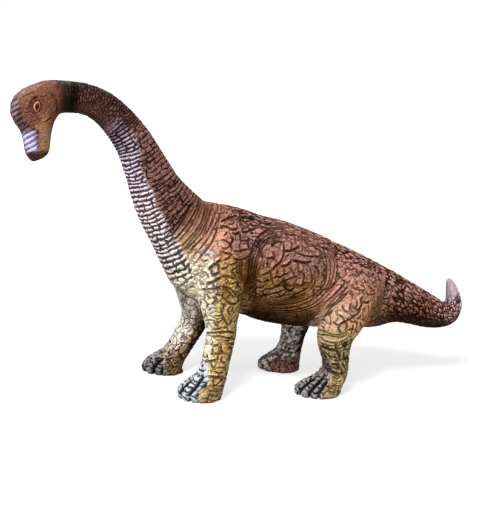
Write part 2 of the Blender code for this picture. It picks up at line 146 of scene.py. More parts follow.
# Broad forms that stand out of or sink into the skin: middle u, v, half width, half height, turn, height
FORMS = [
    (286, 270, 36, 32, 0, 3.0), (221, 246, 17, 20, 20, 2.0), (350, 290, 24, 26, -35, 2.6),
    (243, 276, 6, 34, 0, -2.2), (334, 262, 6, 30, 0, -1.4), (381, 297, 4.5, 30, 8, -1.2),
    (188, 238, 16, 26, 30, 1.0), (222, 316, 9, 18, 0, 0.8), (262, 316, 26, 7, 8, 1.6),
]
# Forms given in space: middle x, y, z, reach, height, and the way that the skin there faces
SPACE_FORMS = [
    (-66, 38, 92, 20, 3.6, AHEAD), (-64, 0, 84, 22, 1.5, AHEAD), (-61, 38, 70, 13, 1.8, AHEAD),
    (-53, 36, 0, 13, -3.0, BEHIND), (-45, 36, 14, 13, -3.2, BEHIND), (-36, -36, 0, 11, -2.2, BEHIND),
    (-31, -36, 42, 20, -1.2, BEHIND), (78, 36, 38, 15, -2.6, BEHIND), (77, 36, 14, 16, -4.0, BEHIND),
    (51, 36, 37, 14, -1.4, AHEAD), (61, -36, 29, 11, -3.2, (-1, 0, 0.3)), (53, -36, 21, 9, -1.6, AHEAD_UP),
    (-68, -36, 20, 9, -1.6, AHEAD_UP), (142, 0, 54, 18, -2.2, DOWN), (-43, 0, 171, 26, 1.6, UP),
    (0, 0, 163, 14, -1.3, UP), (-95, 0, 117, 22, -1.4, AHEAD), (-225, 0, 224, 10, -2.2, AHEAD),
    (-212, 0, 201, 6, -1.2, DOWN), (90, -36, 48, 12, -1.4, BEHIND),
]

# How large the scales are along the body, against those of the trunk: x and z on the spine, share
SCALE_SHARES = [
    (-212, 203, 1.15), (-201, 254, 1.1), (-187, 257, 0.85), (-160, 252, 0.85), (-121, 211, 0.95),
    (-82, 154, 1.0), (129, 89, 1.0), (193, 74, 0.8), (218, 70, 0.65), (216, 107, 0.5),
]

# Lines pressed into the skin, as they run in the photograph: width and depth in millimetres, pixels
FOLD_LINES = [
    # Belly: the large rosette, then the blocks under it
    (1.1, 1.4, """
    292,260.5 298,261.5 305,263 312,261.5; 282,260 279,264 275,267 272,271; 292,261 289,264 286,266
    281,266.5; 284,251.5 290,251 295,249 300,246.5; 283,284 286,289 290,291 294,288; 272,247 274,243.5
    278,241.5 283,242.5"""),
    (0.9, 1.1, """
    283,242.5 284,248 283.5,255 282,260; 296,253 302,255 308,256.5 321,257; 262,252 262,256 263,259;
    266,258.5 270,258.5 274,257; 273,252 275,256 273,261; 280,282.5 284,281 289,279 294,277.5 299,276;
    284,280 286,285 290,286; 273,278 277,277 281,277 284,274.5 289,274; 314,265 318,270 319,276; 262,275.5
    266,274 270,272 272,270; 265,289.5 271,289 276,287 282,286; 261,295 267,295.5 272,293.5 278,292.5
    284,290; 304,272 304,278 303,283 309,283"""),
    (0.75, 0.9, """
    294,250 296,253 294,257; 308,250 309,254; 263,264 264,268; 268,262 267,268; 271,271 271,276 272,280
    273,285; 277,269 278,274; 284,268 285,271.5; 291,266 291.5,270 294,274 294,278; 299,266 298,270
    301,272.5 304,268; 310,267 311,273 312,280 311,286; 322,262 325,267 325,273; 308,264 309,268;
    274,285.5 278,285 283,283; 262,283.5 266,281.5 271,281; 296,284 300,286 306,285; 275,297 280,297
    284,294 287,291; 287,300 292,297 297,293 303,291 309,288; 253,279 258,281 263,283; 252,292 258,294
    262,296; 286,257 289,255; 256,287 261,288 265,286; 267,278 268,282; 316,279 314,285 310,290"""),
    # Back
    (0.9, 1.1, """
    260,226 266,228 272,229 280,229 288,228; 310,242 315,247 320,251 323,255; 284,233.5 290,235 296,235.5
    303,238.5 306,243; 271,240 276,238 282,236.5; 257,221 262,223.5 268,224.5 273,222.5; 338,250 344,253
    350,252 356,255"""),
    (0.75, 0.9, """
    263,232.5 269,232 276,231; 286,222 289,226; 296,229 302,233 309,232; 303,234 309,236 314,240; 318,238
    324,241 331,244; 322,247 327,249 333,252; 291,241 292,247 290,251; 299,242 303,247 301,252; 278,218.5
    283,221 289,222; 340,258 344,263 349,262; 352,259 356,263 362,262; 345,268 351,270 356,268; 359,271
    364,274 369,276; 362,265 368,268 373,266; 334,246 337,252 335,257"""),
    # Shoulder
    (1, 1.2, """
    221,222 225,220 231,217.5 237,216; 220,226.5 227,227 231,229.5 235,229.5 239,227.5; 232,257 237,260
    244,259 251,255; 231,235 233,240 231,245 233,251; 221,251.5 226,253.5 231,254.5 229,258 224,260.5;
    232,233 236,234.5 240,232"""),
    (0.8, 1, """
    228,223.5 232,224.5 235,221.5; 240,222 242,218 246,216.5 251,218.5 257,219; 249,222.5 253,225.5
    258,226; 241,232 247,232 251,230 255,228; 221,240 226,241 230,245 226,249 221,248; 233,251 239,251.5
    245,250 249,249; 240,232 240.5,240 240,249.5; 249,238 248.5,244 249,249; 240,241 245,241 250,240.5;
    211,231 217,228.5 224,228; 224,236 228,232; 242,223 244,227 242,231"""),
    # Upper arm
    (1.3, 1.6, """
    208,270 212,267 216,263.5 221,260.5; 206,284 211,283 216,280.5 221,277.5; 212,276 216,274.5 220,271"""),
    (1, 1.1, """
    216,263 219,267 218,271; 211,269 212,273 212,277; 213,283 214,287.5; 201,290 208,289.5 214,289
    221,287.5; 221,287.5 227,287.5 232,290.5 236,295 239,301; 221,276.5 227,276.5 232,278 238,279.5;
    231,271 234,274 238,278; 224,292 223,297 227,301 231,304 237,304; 213,297 216,300 213,304 216,306"""),
    (0.8, 0.9, """
    201,284.5 205,284; 206.5,284 207,288; 203,272 207,274 209,279; 204,262 208,260; 231,271 236,268
    240,265.5; 229,265.5 234,264 239,261.5; 226,285.5 228,281 225,278; 229,284 234,283.5 240,280.5;
    221,269 226,268 229,265; 221,290 227,290.5 234,298; 219,303 224,305 223,310; 204,300 208,304 207,309;
    207,295 210,299; 231,306 228,310 230,316; 209,311 212,308 217,309; 203,308 206,312 205,317"""),
    # Neck
    (0.7, 0.8, """
    162,193 167,188 173,184 178,177; 136,168 144,164 153,160; 148,151 153,158 157,164; 150,189 157,184
    163,178; 163,204 170,198 180,196; 177,196 183,202 190,207; 168,223 175,215 184,207"""),
    # Fore shank
    (1, 1.2, """
    204,333 212,333 220,332.5 228,332 235,333; 214,321 216,325 219,327; 221,346 221,350 223,353; 204,361.5
    208,362 212,361 216,360; 208,377 213,377 218,377.5 222,376; 213,330 218,329 222,328"""),
    (0.8, 1, """
    215,315.5 219,316 224,315; 221,308 222,312 222,315; 222,315 223,318 221,321 217,324; 224,318 226,323
    229,326; 206,321 211,320 215,321; 205,326 209,327; 212,336.5 220,336.5 228,338 235,339; 212,346.5
    216,346 219,344; 214,353 218,354.5 223,353.5 227,354; 224,341 230,340.5; 226,345 230,343.5 234,344;
    217,355 218,358 217,361; 212,348 213,352 211,355; 207.5,354 207.5,358; 211,362 212,366 214,369;
    217,368 221,367.5 225,368; 213,370.5 218,373 223,373; 219,374 218,379; 222,357 221,361 225,363;
    228,347 232,349"""),
    # Thigh and knee
    (1.3, 1.6, """
    363,297 361,300 362,304 360,308 358,313 351,318.5 343,323 339,326"""),
    (1, 1.1, """
    349,292 344,297 339,302 333,306 328,310; 343,285 339,290 334,295 330,300; 363,301 366,303 370,302;
    346,321 347,326 346,330; 339,326 339,330 341,334; 320,346 327,349 335,351 338,350; 336,343 336,348
    338,354 340,358; 331,364 336,365 340,369; 330,371 335,373 341,374 346,372"""),
    (0.8, 0.9, """
    337,282 331,288 327,293; 347,287 343,293 339,298; 334,303 330,306 325,311; 340,273 338,276 342,279;
    343,279 346,283 351,281; 352,285 355,289 359,287; 349,277 353,275 357,277; 356,281 358,285; 364,279
    366,283; 353,291 350,294 355,295; 358,289 362,291 366,289; 367,285 371,289 375,292; 366,293 370,295
    376,293; 350,319 352,322 356,322; 356,320 357,325 355,330; 360,322 361,326 365,327; 353,325 352,330
    351,335; 365,316 364,321; 369,306 368,312 366,316; 338,315 342,317 345,321; 333,322 337,325 341,326;
    342,305 344,310 350,313; 351,303 350,309 354,313; 356,299 357,305 355,309; 342,346 347,346; 343,352
    344,358 347,362; 325,352 329,355 331,359; 334,360 339,361; 342,363 345,368; 328,368 332,370; 332,377
    338,379; 327,387 331,385.5; 330,392 336,393"""),
    # Head: brow, cheek, jaw, nostril and mouth
    (0.9, 0.75, """
    38.5,96.5 34.5,98.5 31.5,102 31,106; 51,118 47.5,120.5 46,122.5; 49.5,92.5 54,97 56.8,103 57.3,109
    56,113.5"""),
    (0.7, 0.48, """
    40,97.5 44.5,96.5 48.5,95; 32,112 34.5,114.5 38,115; 25,109.5 29,108.3 32.5,109; 26,113.5 30,112
    33,112.5; 24,97 29,94 35,93; 27,156 32,152.8 39.5,152.4 47,150"""),
]

# Lines spread evenly from a first to a last one: how many, width, depth, wander, seed, the two lines
FOLD_FAMILIES = [
    # Root of the neck, from its back down to the chest
    (4, 0.8, 0.8, 1.0, 3, "176,176 166,185 156,193; 188,190 178,203 162,220"),
    (11, 0.8, 1.0, 1.4, 4, "190,196 178,214 164,232; 222,212 214,238 194,264"),
    (6, 0.6, 0.7, 1.6, 14, "196,200 190,212 182,224; 214,208 210,222 204,238"),
    # Behind the foreleg, sweeping up and over the belly
    (5, 0.75, 0.9, 0.6, 5,
     "286,226 268,229 256,240 250,258 246,280 241,303; 283,239 270,241 262,249 257,264 255,282 256,304"),
    (4, 0.6, 0.9, 0.5, 6, "247,254 245,275 242,300; 236,262 237,280 238,298"),
    # Back and bottom of the belly
    (4, 0.75, 0.85, 0.6, 7,
     """318,246 326,259 327,272 322,286 308,298 288,304 266,305;
        331,249 338,263 337,277 331,292 317,306 296,313 268,314"""),
    (4, 0.7, 0.8, 1.0, 15, "311,284 299,293 284,298; 306,298 290,304 272,306"),
    # Groin, knee and instep
    (4, 1.0, 1.1, 0.9, 8, "343,278 333,288 325,296; 353,289 338,303 323,317"),
    (5, 0.8, 1.0, 0.7, 9, "318,330 329,332 340,334 349,330; 319,344 329,349 340,348 350,343"),
    (3, 0.9, 0.8, 0.5, 10, "322,362 330,366 339,368; 324,369 331,373 341,379"),
    # Heels
    (4, 0.8, 0.6, 0.3, 11, "208,386 216,387 224,386; 206,399 214,400 222,397"),
    (4, 0.8, 0.6, 0.3, 12, "331,380 337,382 342,381; 328,393 334,394 340,391"),
]
LINE_STEP = 0.5

# Grooves between the toes of the near feet
TOE_LINES = """
    180,394 182.5,389.5 187,385 192,380; 184.5,401 188,396 193,391 198,385 202,379;
    192,402 197,396.5 202,391 206,385; 301,390 306,385.5 311,381 317,376;
    307,396 311,391 315.5,386 320.5,381 324,375; 315,397 319,393 323,388 327,382"""

# Borders between paints or patterns in the photograph, as v,u
SNOUT_EDGE = "96,15 102,19 110,21 117,22.5 123,26 128,31 130,38.5 150,38.5"
THROAT_EDGE = """
    112,114 118,121 130,128 140,133 150,138 160,141 175,144 190,150
    205,156 222,165 238,175 250,183 262,189 290,196"""
ARM_PALE_EDGE = "262,217 300,217 320,214.5 350,213 365,210 378,208 386,200 400,188"
INNER_DARK_EDGE = "320,220 349,217 358,213 366,208 374,199 382,191 400,190"
FORE_TOE_EDGE = "360,205 366,206 378,208.5 384,208 388,203.5 393,199.5 402,199"
HIND_DARK_EDGE = "345,319 350,323 356,326 362,329 372,331 380,328 390,325 398,324"
THIGH_EDGE = "296,366 304,361 312,360 318,353 324,344 330,338"
# The same as u,v: the mouth, and the upper border of the dark side of the far hind foot
MOUTH_EDGE = "26,155 32,152 39.5,152 47,151"
INNER_SOLE_EDGE = "296,381 301,377 306,375 314,374 322,372 332,367"
# A straight border behind the cheek: u at the height v, and how far it leans back
NAPE_U, NAPE_V, NAPE_LEAN = 57, 80, 0.05
# How far the toes reach back on the inner sides, where their tops lie, and how much lower on the inner sides
FORE_INNER_TOES, HIND_INNER_TOES = 191, 297
FORE_TOE_TOP, HIND_TOE_TOP, INNER_TOE_DROP = 364.0, 374.0, 8
TOE_MOST_Z = 50
# Where a coat or a pattern sets in, across or down the photograph
ARM_TOP_V, ARM_BACK_U = (262, 276), (248, 239)
HIND_FRONT_V, HIND_FRONT_SCALES_V = (343, 350), (345, 350)
FAR_SHANK_BACK_U = (324, 332)
THROAT_END_V = (288, 276)
SNOUT_START_V, SNOUT_END_V = (92, 98), (154, 150)
# Heights in millimetres: where the thigh's sprays stop, and where the shank's moss sets in
THIGH_LEAST_Z, SHANK_MOSS_Z = 50, (64, 52)

# Where a coat or a pattern sets in along the spine, and where it is full: two places, with a shift for each
SPANS = {
    "trunk": ("seam_neck", 0, "chest", 0), "neck_coat": ("chest", 0, "seam_neck", -10),
    "dark_neck": ("mid_neck", 24, "nape", 30), "bone_ribs": ("mid_neck", 0, "seam_neck", -12),
    "plum_ribs": ("mid_neck", 4, "nape", 32), "tail": ("tail_root", -12, "tail_root", 12),
    "curl": ("bend", -34, "bend", -8), "tip": ("bend", 4, "bend", 14), "band": ("nape", -4, "nape", -14),
    "neck_start": ("upper_neck", -8, "upper_neck", 8), "neck_end": ("chest", -6, "seam_neck", -8),
    "fine": ("upper_neck", 8, "upper_neck", -14), "back": ("chest", -20, "chest", 10),
    "long_tail": ("tail_root", -6, "tail_root", 10), "throat_start": ("rib_top", 0, "rib_top", 18),
    "throat_end": ("chest", 26, "chest", -12),
}

# Sprayed spots: middle u and v, half width, half height, turn, softness, paint, share
SPOTS = {
    "belly_blot": (288, 288, 6, 12, -20, 0.6, "soot", 0.5),
    "behind_arm": (247, 262, 8, 40, 0, 0.7, "olive", 0.8),
    "shoulder": (216, 240, 20, 20, 0, 0.9, "salmon", 0.8),
    "withers": (216, 209, 24, 9, 12, 0.8, "rust", 0.6),
    "smudge": (236, 236, 5, 11, 0, 0.5, "slate_green", 0.6),
    "mauve_plate": (243, 248, 8, 11, 0, 0.4, "mauve", 0.8),
    "back_smudge": (260, 217, 8, 5, 20, 0.6, "slate_green", 0.5),
    "chest_sand": (200, 265, 26, 12, -48, 0.6, "sand", 0.7),
    "chest_folds": (187, 246, 12, 18, 30, 0.5, "straw", 0.45),
    "chest_blush": (207, 254, 7, 9, 0, 0.5, "blush", 0.6),
    "chest": (190, 278, 18, 18, 0, 0.4, "cream", 0.9),
    "arm_top": (206, 277, 12, 22, 10, 0.5, "cream", 0.95),
    "arm_ochre": (232, 281, 12, 22, 0, 0.8, "ochre", 0.9),
    "armpit": (245, 285, 8, 30, 0, 0.9, "olive", 0.9),
    "flank": (324, 272, 7, 22, 0, 0.8, "olive", 0.7),
    "thigh": (345, 292, 24, 26, 20, 0.6, "salmon", 0.75),
    "thigh_low": (334, 318, 20, 18, 0, 0.6, "sand", 0.9),
    "thigh_back": (362, 314, 15, 28, 38, 0.5, "ochre_dark", 0.9),
    "knee": (333, 337, 22, 9, 0, 0.6, "straw", 0.9),
    # The heel's straw is partly painted light, paler where the leg shades it.
    "heel": (334, 388, 13, 12, 0, 0.5, "straw", 0.8),
    # The walnut in the valley at the tail's root is painted shade, stronger lower down.
    "tail_root": (381, 297, 7, 34, 8, 0.9, "walnut", 0.85),
    "crown": (24, 90, 16, 6, -35, 0.8, "pewter", 0.25),
    "cheek": (46, 137, 7, 21, 0, 0.5, "tan", 1),
    "snout_top": (13, 107, 7, 12, 10, 0.5, "blush", 0.3),
    "snout_patch": (31, 142, 8, 11, -15, 0.3, "pearl", 1),
    "lip": (43, 156, 7, 6, 0, 0.6, "drab", 0.6),
}

# Coats of the trunk by the cosine of the angle from the back's midline: paint, share, sets in, full
BACK_COAT = [("mauve", 0.9, 0.0, 0.7)]
# Going down to the belly, the olive and black are partly the paint and partly painted shade.
FLANK_COATS = [
    ("rust", 0.8, 0.45, 0.0), ("bronze", 0.85, 0.35, -0.10), ("olive", 0.8, -0.15, -0.55),
    ("olive_black", 1, -0.50, -0.90),
]
TAIL_COATS = [("liver", 1, 0.45, 0.0), ("olive_black", 0.85, 0.0, -0.45)]
CURL_COAT = [("rose", 0.7, -0.7, 0.1)]
# Coats by spans of the spine: paint, share, names of the spans
NECK_COATS = [("sienna", 0.85, "neck_coat"), ("umber", 0.92, "neck_coat dark_neck")]
RIB_COATS = [("lilac", 0.95, ""), ("bone", 0.8, "bone_ribs"), ("plum", 0.9, "plum_ribs")]
# Coats of the toes, all round and then on the inner sides: paint of the fore feet, of the hind feet, share
# On the inner sides the hind toes' pewter is partly painted light, paler where they lie in shade.
TOE_COATS = [("blue_grey", "slate", 0.95), ("lead", "pewter", 0.9)]
# Coats of the foreleg: paint, share, distances from the pale front's border or None, heights or None
# The pale front is partly painted light from the left, and the drab towards the back is painted shade.
ARM_COATS = [
    ("ochre", 0.95, None, None), ("drab", 0.6, (8, 20), None), ("khaki", 0.8, (8, 0), (290, 320)),
    ("cream", 1, (1.5, -2.5), None), ("pewter", 0.6, (-2, -8), (350, 366)),
]
# On the inner side the ash in front is painted light, and the drab, olive and black behind are painted shade.
INNER_ARM_COATS = [
    ("ash", 0.3, (-4, -10), None), ("drab", 0.8, (-9, -3), None), ("olive_black", 0.95, (-4, 4), (374, 362)),
    ("olive", 0.9, (-6, 4), (362, 374)), ("moss", 0.5, None, (374, 386)),
]

# Where folds stand in for scales: middle u and v, half width, half height, turn, share taken from the scales
CALM_SPOTS = [
    (192, 226, 13, 32, 38, 1), (246, 275, 6, 32, 0, 1), (331, 272, 6, 26, 0, 1), (381, 297, 3, 28, 8, 1),
    (64, 95, 8, 24, 12, 1), (333, 337, 20, 7, 0, 1), (330, 300, 9, 20, 35, 1), (451, 286, 9, 16, 0, 1),
    (288, 270, 40, 34, 0, 0.6), (222, 250, 30, 44, 0, 0.6), (290, 235, 40, 14, 18, 0.4),
    (220, 340, 24, 50, -8, 0.45), (350, 305, 34, 44, 25, 0.4), (330, 365, 22, 34, 0, 0.3),
    (290, 306, 50, 12, 0, 0.8), (208, 392, 16, 12, 0, 0.45), (312, 384, 16, 9, 0, 0.6),
]
UNDERSIDE_CALM = 0.45

# Eye in the photograph: middle, half width, half height, turn; and a distance that stands for nowhere near it
EYE = (37.0, 106.6, 3.2, 5.5, 8.0)
NO_EYE = 100
# The snout's ribs in the photograph: how they slant, and the sizes that bring them to the ribs' rows
SNOUT_SLANT, SNOUT_ROWS, SNOUT_LENGTHS = 0.55, 0.667, (0.5, 0.15)

# Paints, as they would be named on the spray bench
PAINTS = {
    "brown": (142, 96, 82), "mauve": (156, 108, 94), "rust": (134, 82, 50), "umber": (102, 68, 60),
    "soot": (34, 18, 10), "olive_black": (42, 24, 2), "olive": (80, 46, 12), "ochre": (188, 150, 80),
    "straw": (190, 162, 112), "cream": (218, 210, 186), "lilac": (198, 182, 200), "salmon": (198, 140, 118),
    "sand": (206, 164, 132), "slate": (138, 136, 140), "blue_grey": (186, 196, 214), "top_grey": (110, 102, 88),
    "maroon": (72, 32, 24), "blush": (188, 170, 178), "tan": (172, 128, 88), "liver": (126, 72, 52),
    "moss": (128, 102, 52), "plum": (84, 54, 60), "pearl": (184, 176, 214), "walnut": (80, 54, 36),
    "drab": (110, 78, 36), "lead": (98, 94, 94), "bronze": (128, 86, 34), "sienna": (96, 57, 46),
    "slate_green": (84, 78, 60), "khaki": (200, 182, 126), "bone": (206, 194, 190),
    "ochre_dark": (190, 130, 82), "pewter": (190, 186, 178), "rose": (176, 134, 128),
    "chestnut": (120, 72, 50), "ash": (240, 238, 226),
}
EYE_LID, EYE_BALL, EYE_PUPIL = (226, 168, 144), (96, 38, 26), (20, 8, 8)
# What cracks and the paler edges, partly wear of the paint and partly painted highlight, make of a paint
WASH, TOE_WASH, RIB_WASH = (0.12, 0.05, 0.025, 1), (0.06, 0.06, 0.07, 1), (0.035, 0.018, 0.025, 1)
WEAR_AND_HIGHLIGHT_BODY, WEAR_AND_HIGHLIGHT_LEG, WEAR_AND_HIGHLIGHT_GAIN = (0.92, 0.74, 0.66, 1), (0.88, 0.84, 0.60, 1), (2.1, 2.0, 2.0, 1)
WASH_SHARE = 0.97

# Mean sizes of the moulded scales in millimetres; bricks have a length and a width
PLATE, STROKE, SMALL_PLATE, HATCH, LONG_SCALE, WRINKLE = 8.6, 6.4, 3.8, 2.6, 4.6, 2.8
NECK_BRICK, FINE_BRICK, RIB_BRICK, TOE_RIB = (8.5, 4.2), (5.2, 2.7), (8.5, 3.8), 3.4
# How deep each kind is, against the plates
LONG_DEPTH, NECK_DEPTH, FINE_DEPTH, WRINKLE_DEPTH, TOE_DEPTH = 0.8, 0.75, 0.5, 0.20, 0.8
# Sizes of the noises that bend cracks or take them away
CROOK, FINE_CROOK, WEAR, LOSS, CRACKING, CREASE = 10, 2.6, 6.5, 5.0, 13, 2.4
# Where such a noise takes cracks away: from and to, and what it adds there to the distance from them
TAPER, STROKES_LOST, SMALL_LOST = (0.42, 0.62, -0.15, 0.60), (0.40, 0.50, 1.3, 0.25), (0.50, 0.62, 3.0, 0.62)
JOINTS_LOST, ENDS_LOST = (0.46, 0.58, -0.05, 1.1), (0.42, 0.55, 0.0, 1.5)
# Distances from a crack between which its depth, its wash and its paler edge fade, and the dome rises
CRACK_REACH, WASH_REACH, EDGE_REACH, DOME_REACH = (0.12, 1.05), (0.25, 0.90), (0.9, 2.1), (0.2, 2.4)
FOLD_LIP = (0.03, 0.17)
DOME_HEIGHT, CRACK_DEPTH, CREASE_HEIGHT = 0.45, 0.85, 0.4
ATTRIBUTES = ("rest", "tube", "part", "zone", "fold", "foot")
BUMP_REACH = 2.8

# Each slot's material: its name, roughness and gloss
VINYLS = {
    "head_vinyl": ("head_paint", 0.36, 0.12), "neck_vinyl": ("neck_paint", 0.42, 0.08),
    "body_vinyl": ("body_paint", 0.46, 0.04), "tail_vinyl": ("tail_paint", 0.46, 0.04),
    "leg_vinyl": ("leg_paint", 0.44, 0.06),
}
VINYL_IOR = 1.45

# Studio, in metres: each light's place, size and power
SKY_STRENGTH = 0.32
FLOOR_SIDE = 40.0
FLOOR_GREY, FLOOR_ROUGHNESS, FLOOR_GLOSS = 0.40, 0.9, 0.1
FLOOR_GLOW_REACH, FLOOR_GLOW = (0.30, 0.70), (0.66, 1.0)
LIGHT_AIM = (0, 0, 0.12)
LIGHTS = {
    "key": ((-0.85, -1.0, 1.5), 0.5, 38), "side": ((-1.5, -0.1, 0.45), 0.6, 7),
    "fill": ((0.9, -1.2, 0.5), 1.2, 2), "rim": ((0.2, 1.4, 1.3), 1.0, 8),
}


def camera_axes():
    """Right, up and back of the photograph's camera, rolled about the line of sight."""
    azimuth, elevation, roll = np.radians((CAMERA_AZIMUTH, CAMERA_ELEVATION, CAMERA_ROLL))
    level = np.array((np.cos(azimuth), np.sin(azimuth), 0))
    ahead = np.array((-np.sin(azimuth), np.cos(azimuth), 0))
    back = np.array((0, 0, np.sin(elevation))) - ahead * np.cos(elevation)
    upright = np.cross(back, level)
    right = np.cos(roll) * level + np.sin(roll) * upright
    up = np.cos(roll) * upright - np.sin(roll) * level
    return right, up, back


def camera_place():
    return np.array(LOOK_AT) + camera_axes()[2] * CAMERA_DISTANCE


def photo_pixels(points):
    """Where points in millimetres fall in the photograph."""
    right, up, back = camera_axes()
    offset = points - camera_place()
    depth = -(offset @ back)
    u = PHOTO_WIDTH / 2 + FOCAL_PIXELS * (offset @ right) / depth
    v = PHOTO_HEIGHT / 2 - FOCAL_PIXELS * (offset @ up) / depth
    return u, v


def photo_ray(u, v):
    right, up, back = camera_axes()
    ray = -back + right * (u - PHOTO_WIDTH / 2) / FOCAL_PIXELS - up * (v - PHOTO_HEIGHT / 2) / FOCAL_PIXELS
    return ray / np.linalg.norm(ray)


def turned(u, v, middle_u, middle_v, half_u, half_v, turn):
    """Places in the photograph along the axes of an ellipse there, 1 on its rim."""
    a = np.radians(turn)
    du, dv = u - middle_u, v - middle_v
    return (du * np.cos(a) + dv * np.sin(a)) / half_u, (dv * np.cos(a) - du * np.sin(a)) / half_v


def pixel_lines(text):
    """Lines of the photograph that are written as u,v u,v; u,v u,v and so on."""
    return [[tuple(map(float, pair.split(","))) for pair in line.split()] for line in text.split(";")]


def ramp(low, high, value):
    """0 at low, 1 at high and smooth between; low may be the larger one."""
    t = np.clip((value - low) / (high - low), 0, 1)
    return t * t * (3 - 2 * t)


def bell(value):
    return np.exp(-value ** 2)


def edge(border, v):
    """Where a border of the photograph runs at the height v, or across from u."""
    return np.interp(v, *np.transpose(pixel_lines(border)[0]))


def linear(colour):
    c = np.asarray(colour, float) / 255
    return np.where(c <= 0.04045, c / 12.92, ((c + 0.055) / 1.055) ** 2.4)


def curve_through(points, step):
    """Catmull-Rom through points, resampled about every step."""
    points = np.asarray(points, float)
    padded = np.vstack((2 * points[0] - points[1], points, 2 * points[-1] - points[-2]))
    parts = []
    for i in range(len(points) - 1):
        p0, p1, p2, p3 = padded[i:i + 4]
        count = max(int(np.linalg.norm((p2 - p1)[:2]) / step), 1)
        t = np.linspace(0, 1, count, endpoint=False)[:, None]
        square = (2 * p0 - 5 * p1 + 4 * p2 - p3) * t ** 2
        cube = (3 * p1 - p0 - 3 * p2 + p3) * t ** 3
        parts.append((2 * p1 + (p2 - p0) * t + square + cube) / 2)
    parts.append(points[-1:])
    return np.vstack(parts)


def ripple(points, size, seed):
    """Smooth wandering values between about -1 and 1, which repeat on every run."""
    rng = np.random.default_rng(seed)
    total = np.zeros(len(points))
    waves = 7
    for _ in range(waves):
        way = rng.normal(size=3)
        way *= 2 * np.pi / size / np.linalg.norm(way) * rng.uniform(0.6, 1.5)
        total += np.sin(points @ way + rng.uniform(0, 2 * np.pi))
    return total / np.sqrt(waves)


def tree_of(places):
    tree = KDTree(len(places))
    for i, place in enumerate(places):
        tree.insert(place, i)
    tree.balance()
    return tree


def read(items, field, kind=np.int32, width=1):
    """One field of all vertices, edges or faces of a mesh."""
    values = np.empty(len(items) * width, kind)
    items.foreach_get(field, values)
    return values


def mesh_points(mesh):
    return read(mesh.vertices, "co", np.float32, 3).reshape(-1, 3).astype(float)


def mesh_normals(mesh):
    return read(mesh.vertex_normals, "vector", np.float32, 3).reshape(-1, 3).astype(float)


def set_points(mesh, co):
    mesh.vertices.foreach_set("co", co.astype(np.float32).ravel())
    mesh.update()


@contextmanager
def edited(mesh):
    """The mesh as an editable one, which is written back at the end."""
    work = bmesh.new()
    work.from_mesh(mesh)
    yield work
    work.to_mesh(mesh)
    work.free()


def applied(piece, name):
    """The piece's evaluated mesh as a plain mesh, with no modifier left."""
    graph = bpy.context.evaluated_depsgraph_get()
    shown = piece.evaluated_get(graph)
    mesh = bpy.data.meshes.new_from_object(shown, preserve_all_data_layers=True, depsgraph=graph)
    mesh.name = name
    return mesh


def linked(name, data):
    """A new object in the scene."""
    item = bpy.data.objects.new(name, data)
    bpy.context.scene.collection.objects.link(item)
    return item


def fused_skin(nodes):
    """One closed outer surface round all castings. Pushing their faces out closes the gaps at the seams."""
    work = bmesh.new()
    for node in nodes:
        work.from_mesh(node.data)
    bmesh.ops.remove_doubles(work, verts=work.verts, dist=1e-6)
    work.normal_update()
    pushed = [v.co + v.normal * SEAM_OVERLAP * MM for v in work.verts]
    for vert, place in zip(work.verts, pushed):
        vert.co = place
    mesh = bpy.data.meshes.new("skin")
    work.to_mesh(mesh)
    work.free()
    skin = linked("skin", mesh)
    remesh = skin.modifiers.new("remesh", "REMESH")
    remesh.mode = "VOXEL"
    remesh.voxel_size = VOXEL * MM
    skin.data = applied(skin, "skin")
    skin.modifiers.clear()
    keep_outer(skin.data)
    return skin


def keep_outer(mesh):
    """Drop the hollows' walls: only what joins the foremost vertex stays."""
    with edited(mesh) as work:
        first = min(work.verts, key=lambda v: v.co.x)
        first.tag = True
        front = [first]
        while front:
            reached = []
            for vert in front:
                for side in vert.link_edges:
                    other = side.other_vert(vert)
                    if not other.tag:
                        other.tag = True
                        reached.append(other)
            front = reached
        bmesh.ops.delete(work, geom=[v for v in work.verts if not v.tag], context="VERTS")


def smooth(co, ends, rounds, shrink=0.5, grow=-0.52):
    """Taubin smoothing, which takes the facets out and keeps the volume."""
    count = len(co)
    both = np.concatenate((ends[:, 0], ends[:, 1]))
    other = np.concatenate((ends[:, 1], ends[:, 0]))
    degree = np.maximum(np.bincount(both, minlength=count), 1)[:, None]
    for _ in range(rounds):
        for factor in (shrink, grow):
            mean = np.stack([np.bincount(both, co[other, axis], count) for axis in range(3)], 1) / degree
            co = co + factor * (mean - co)
    return co


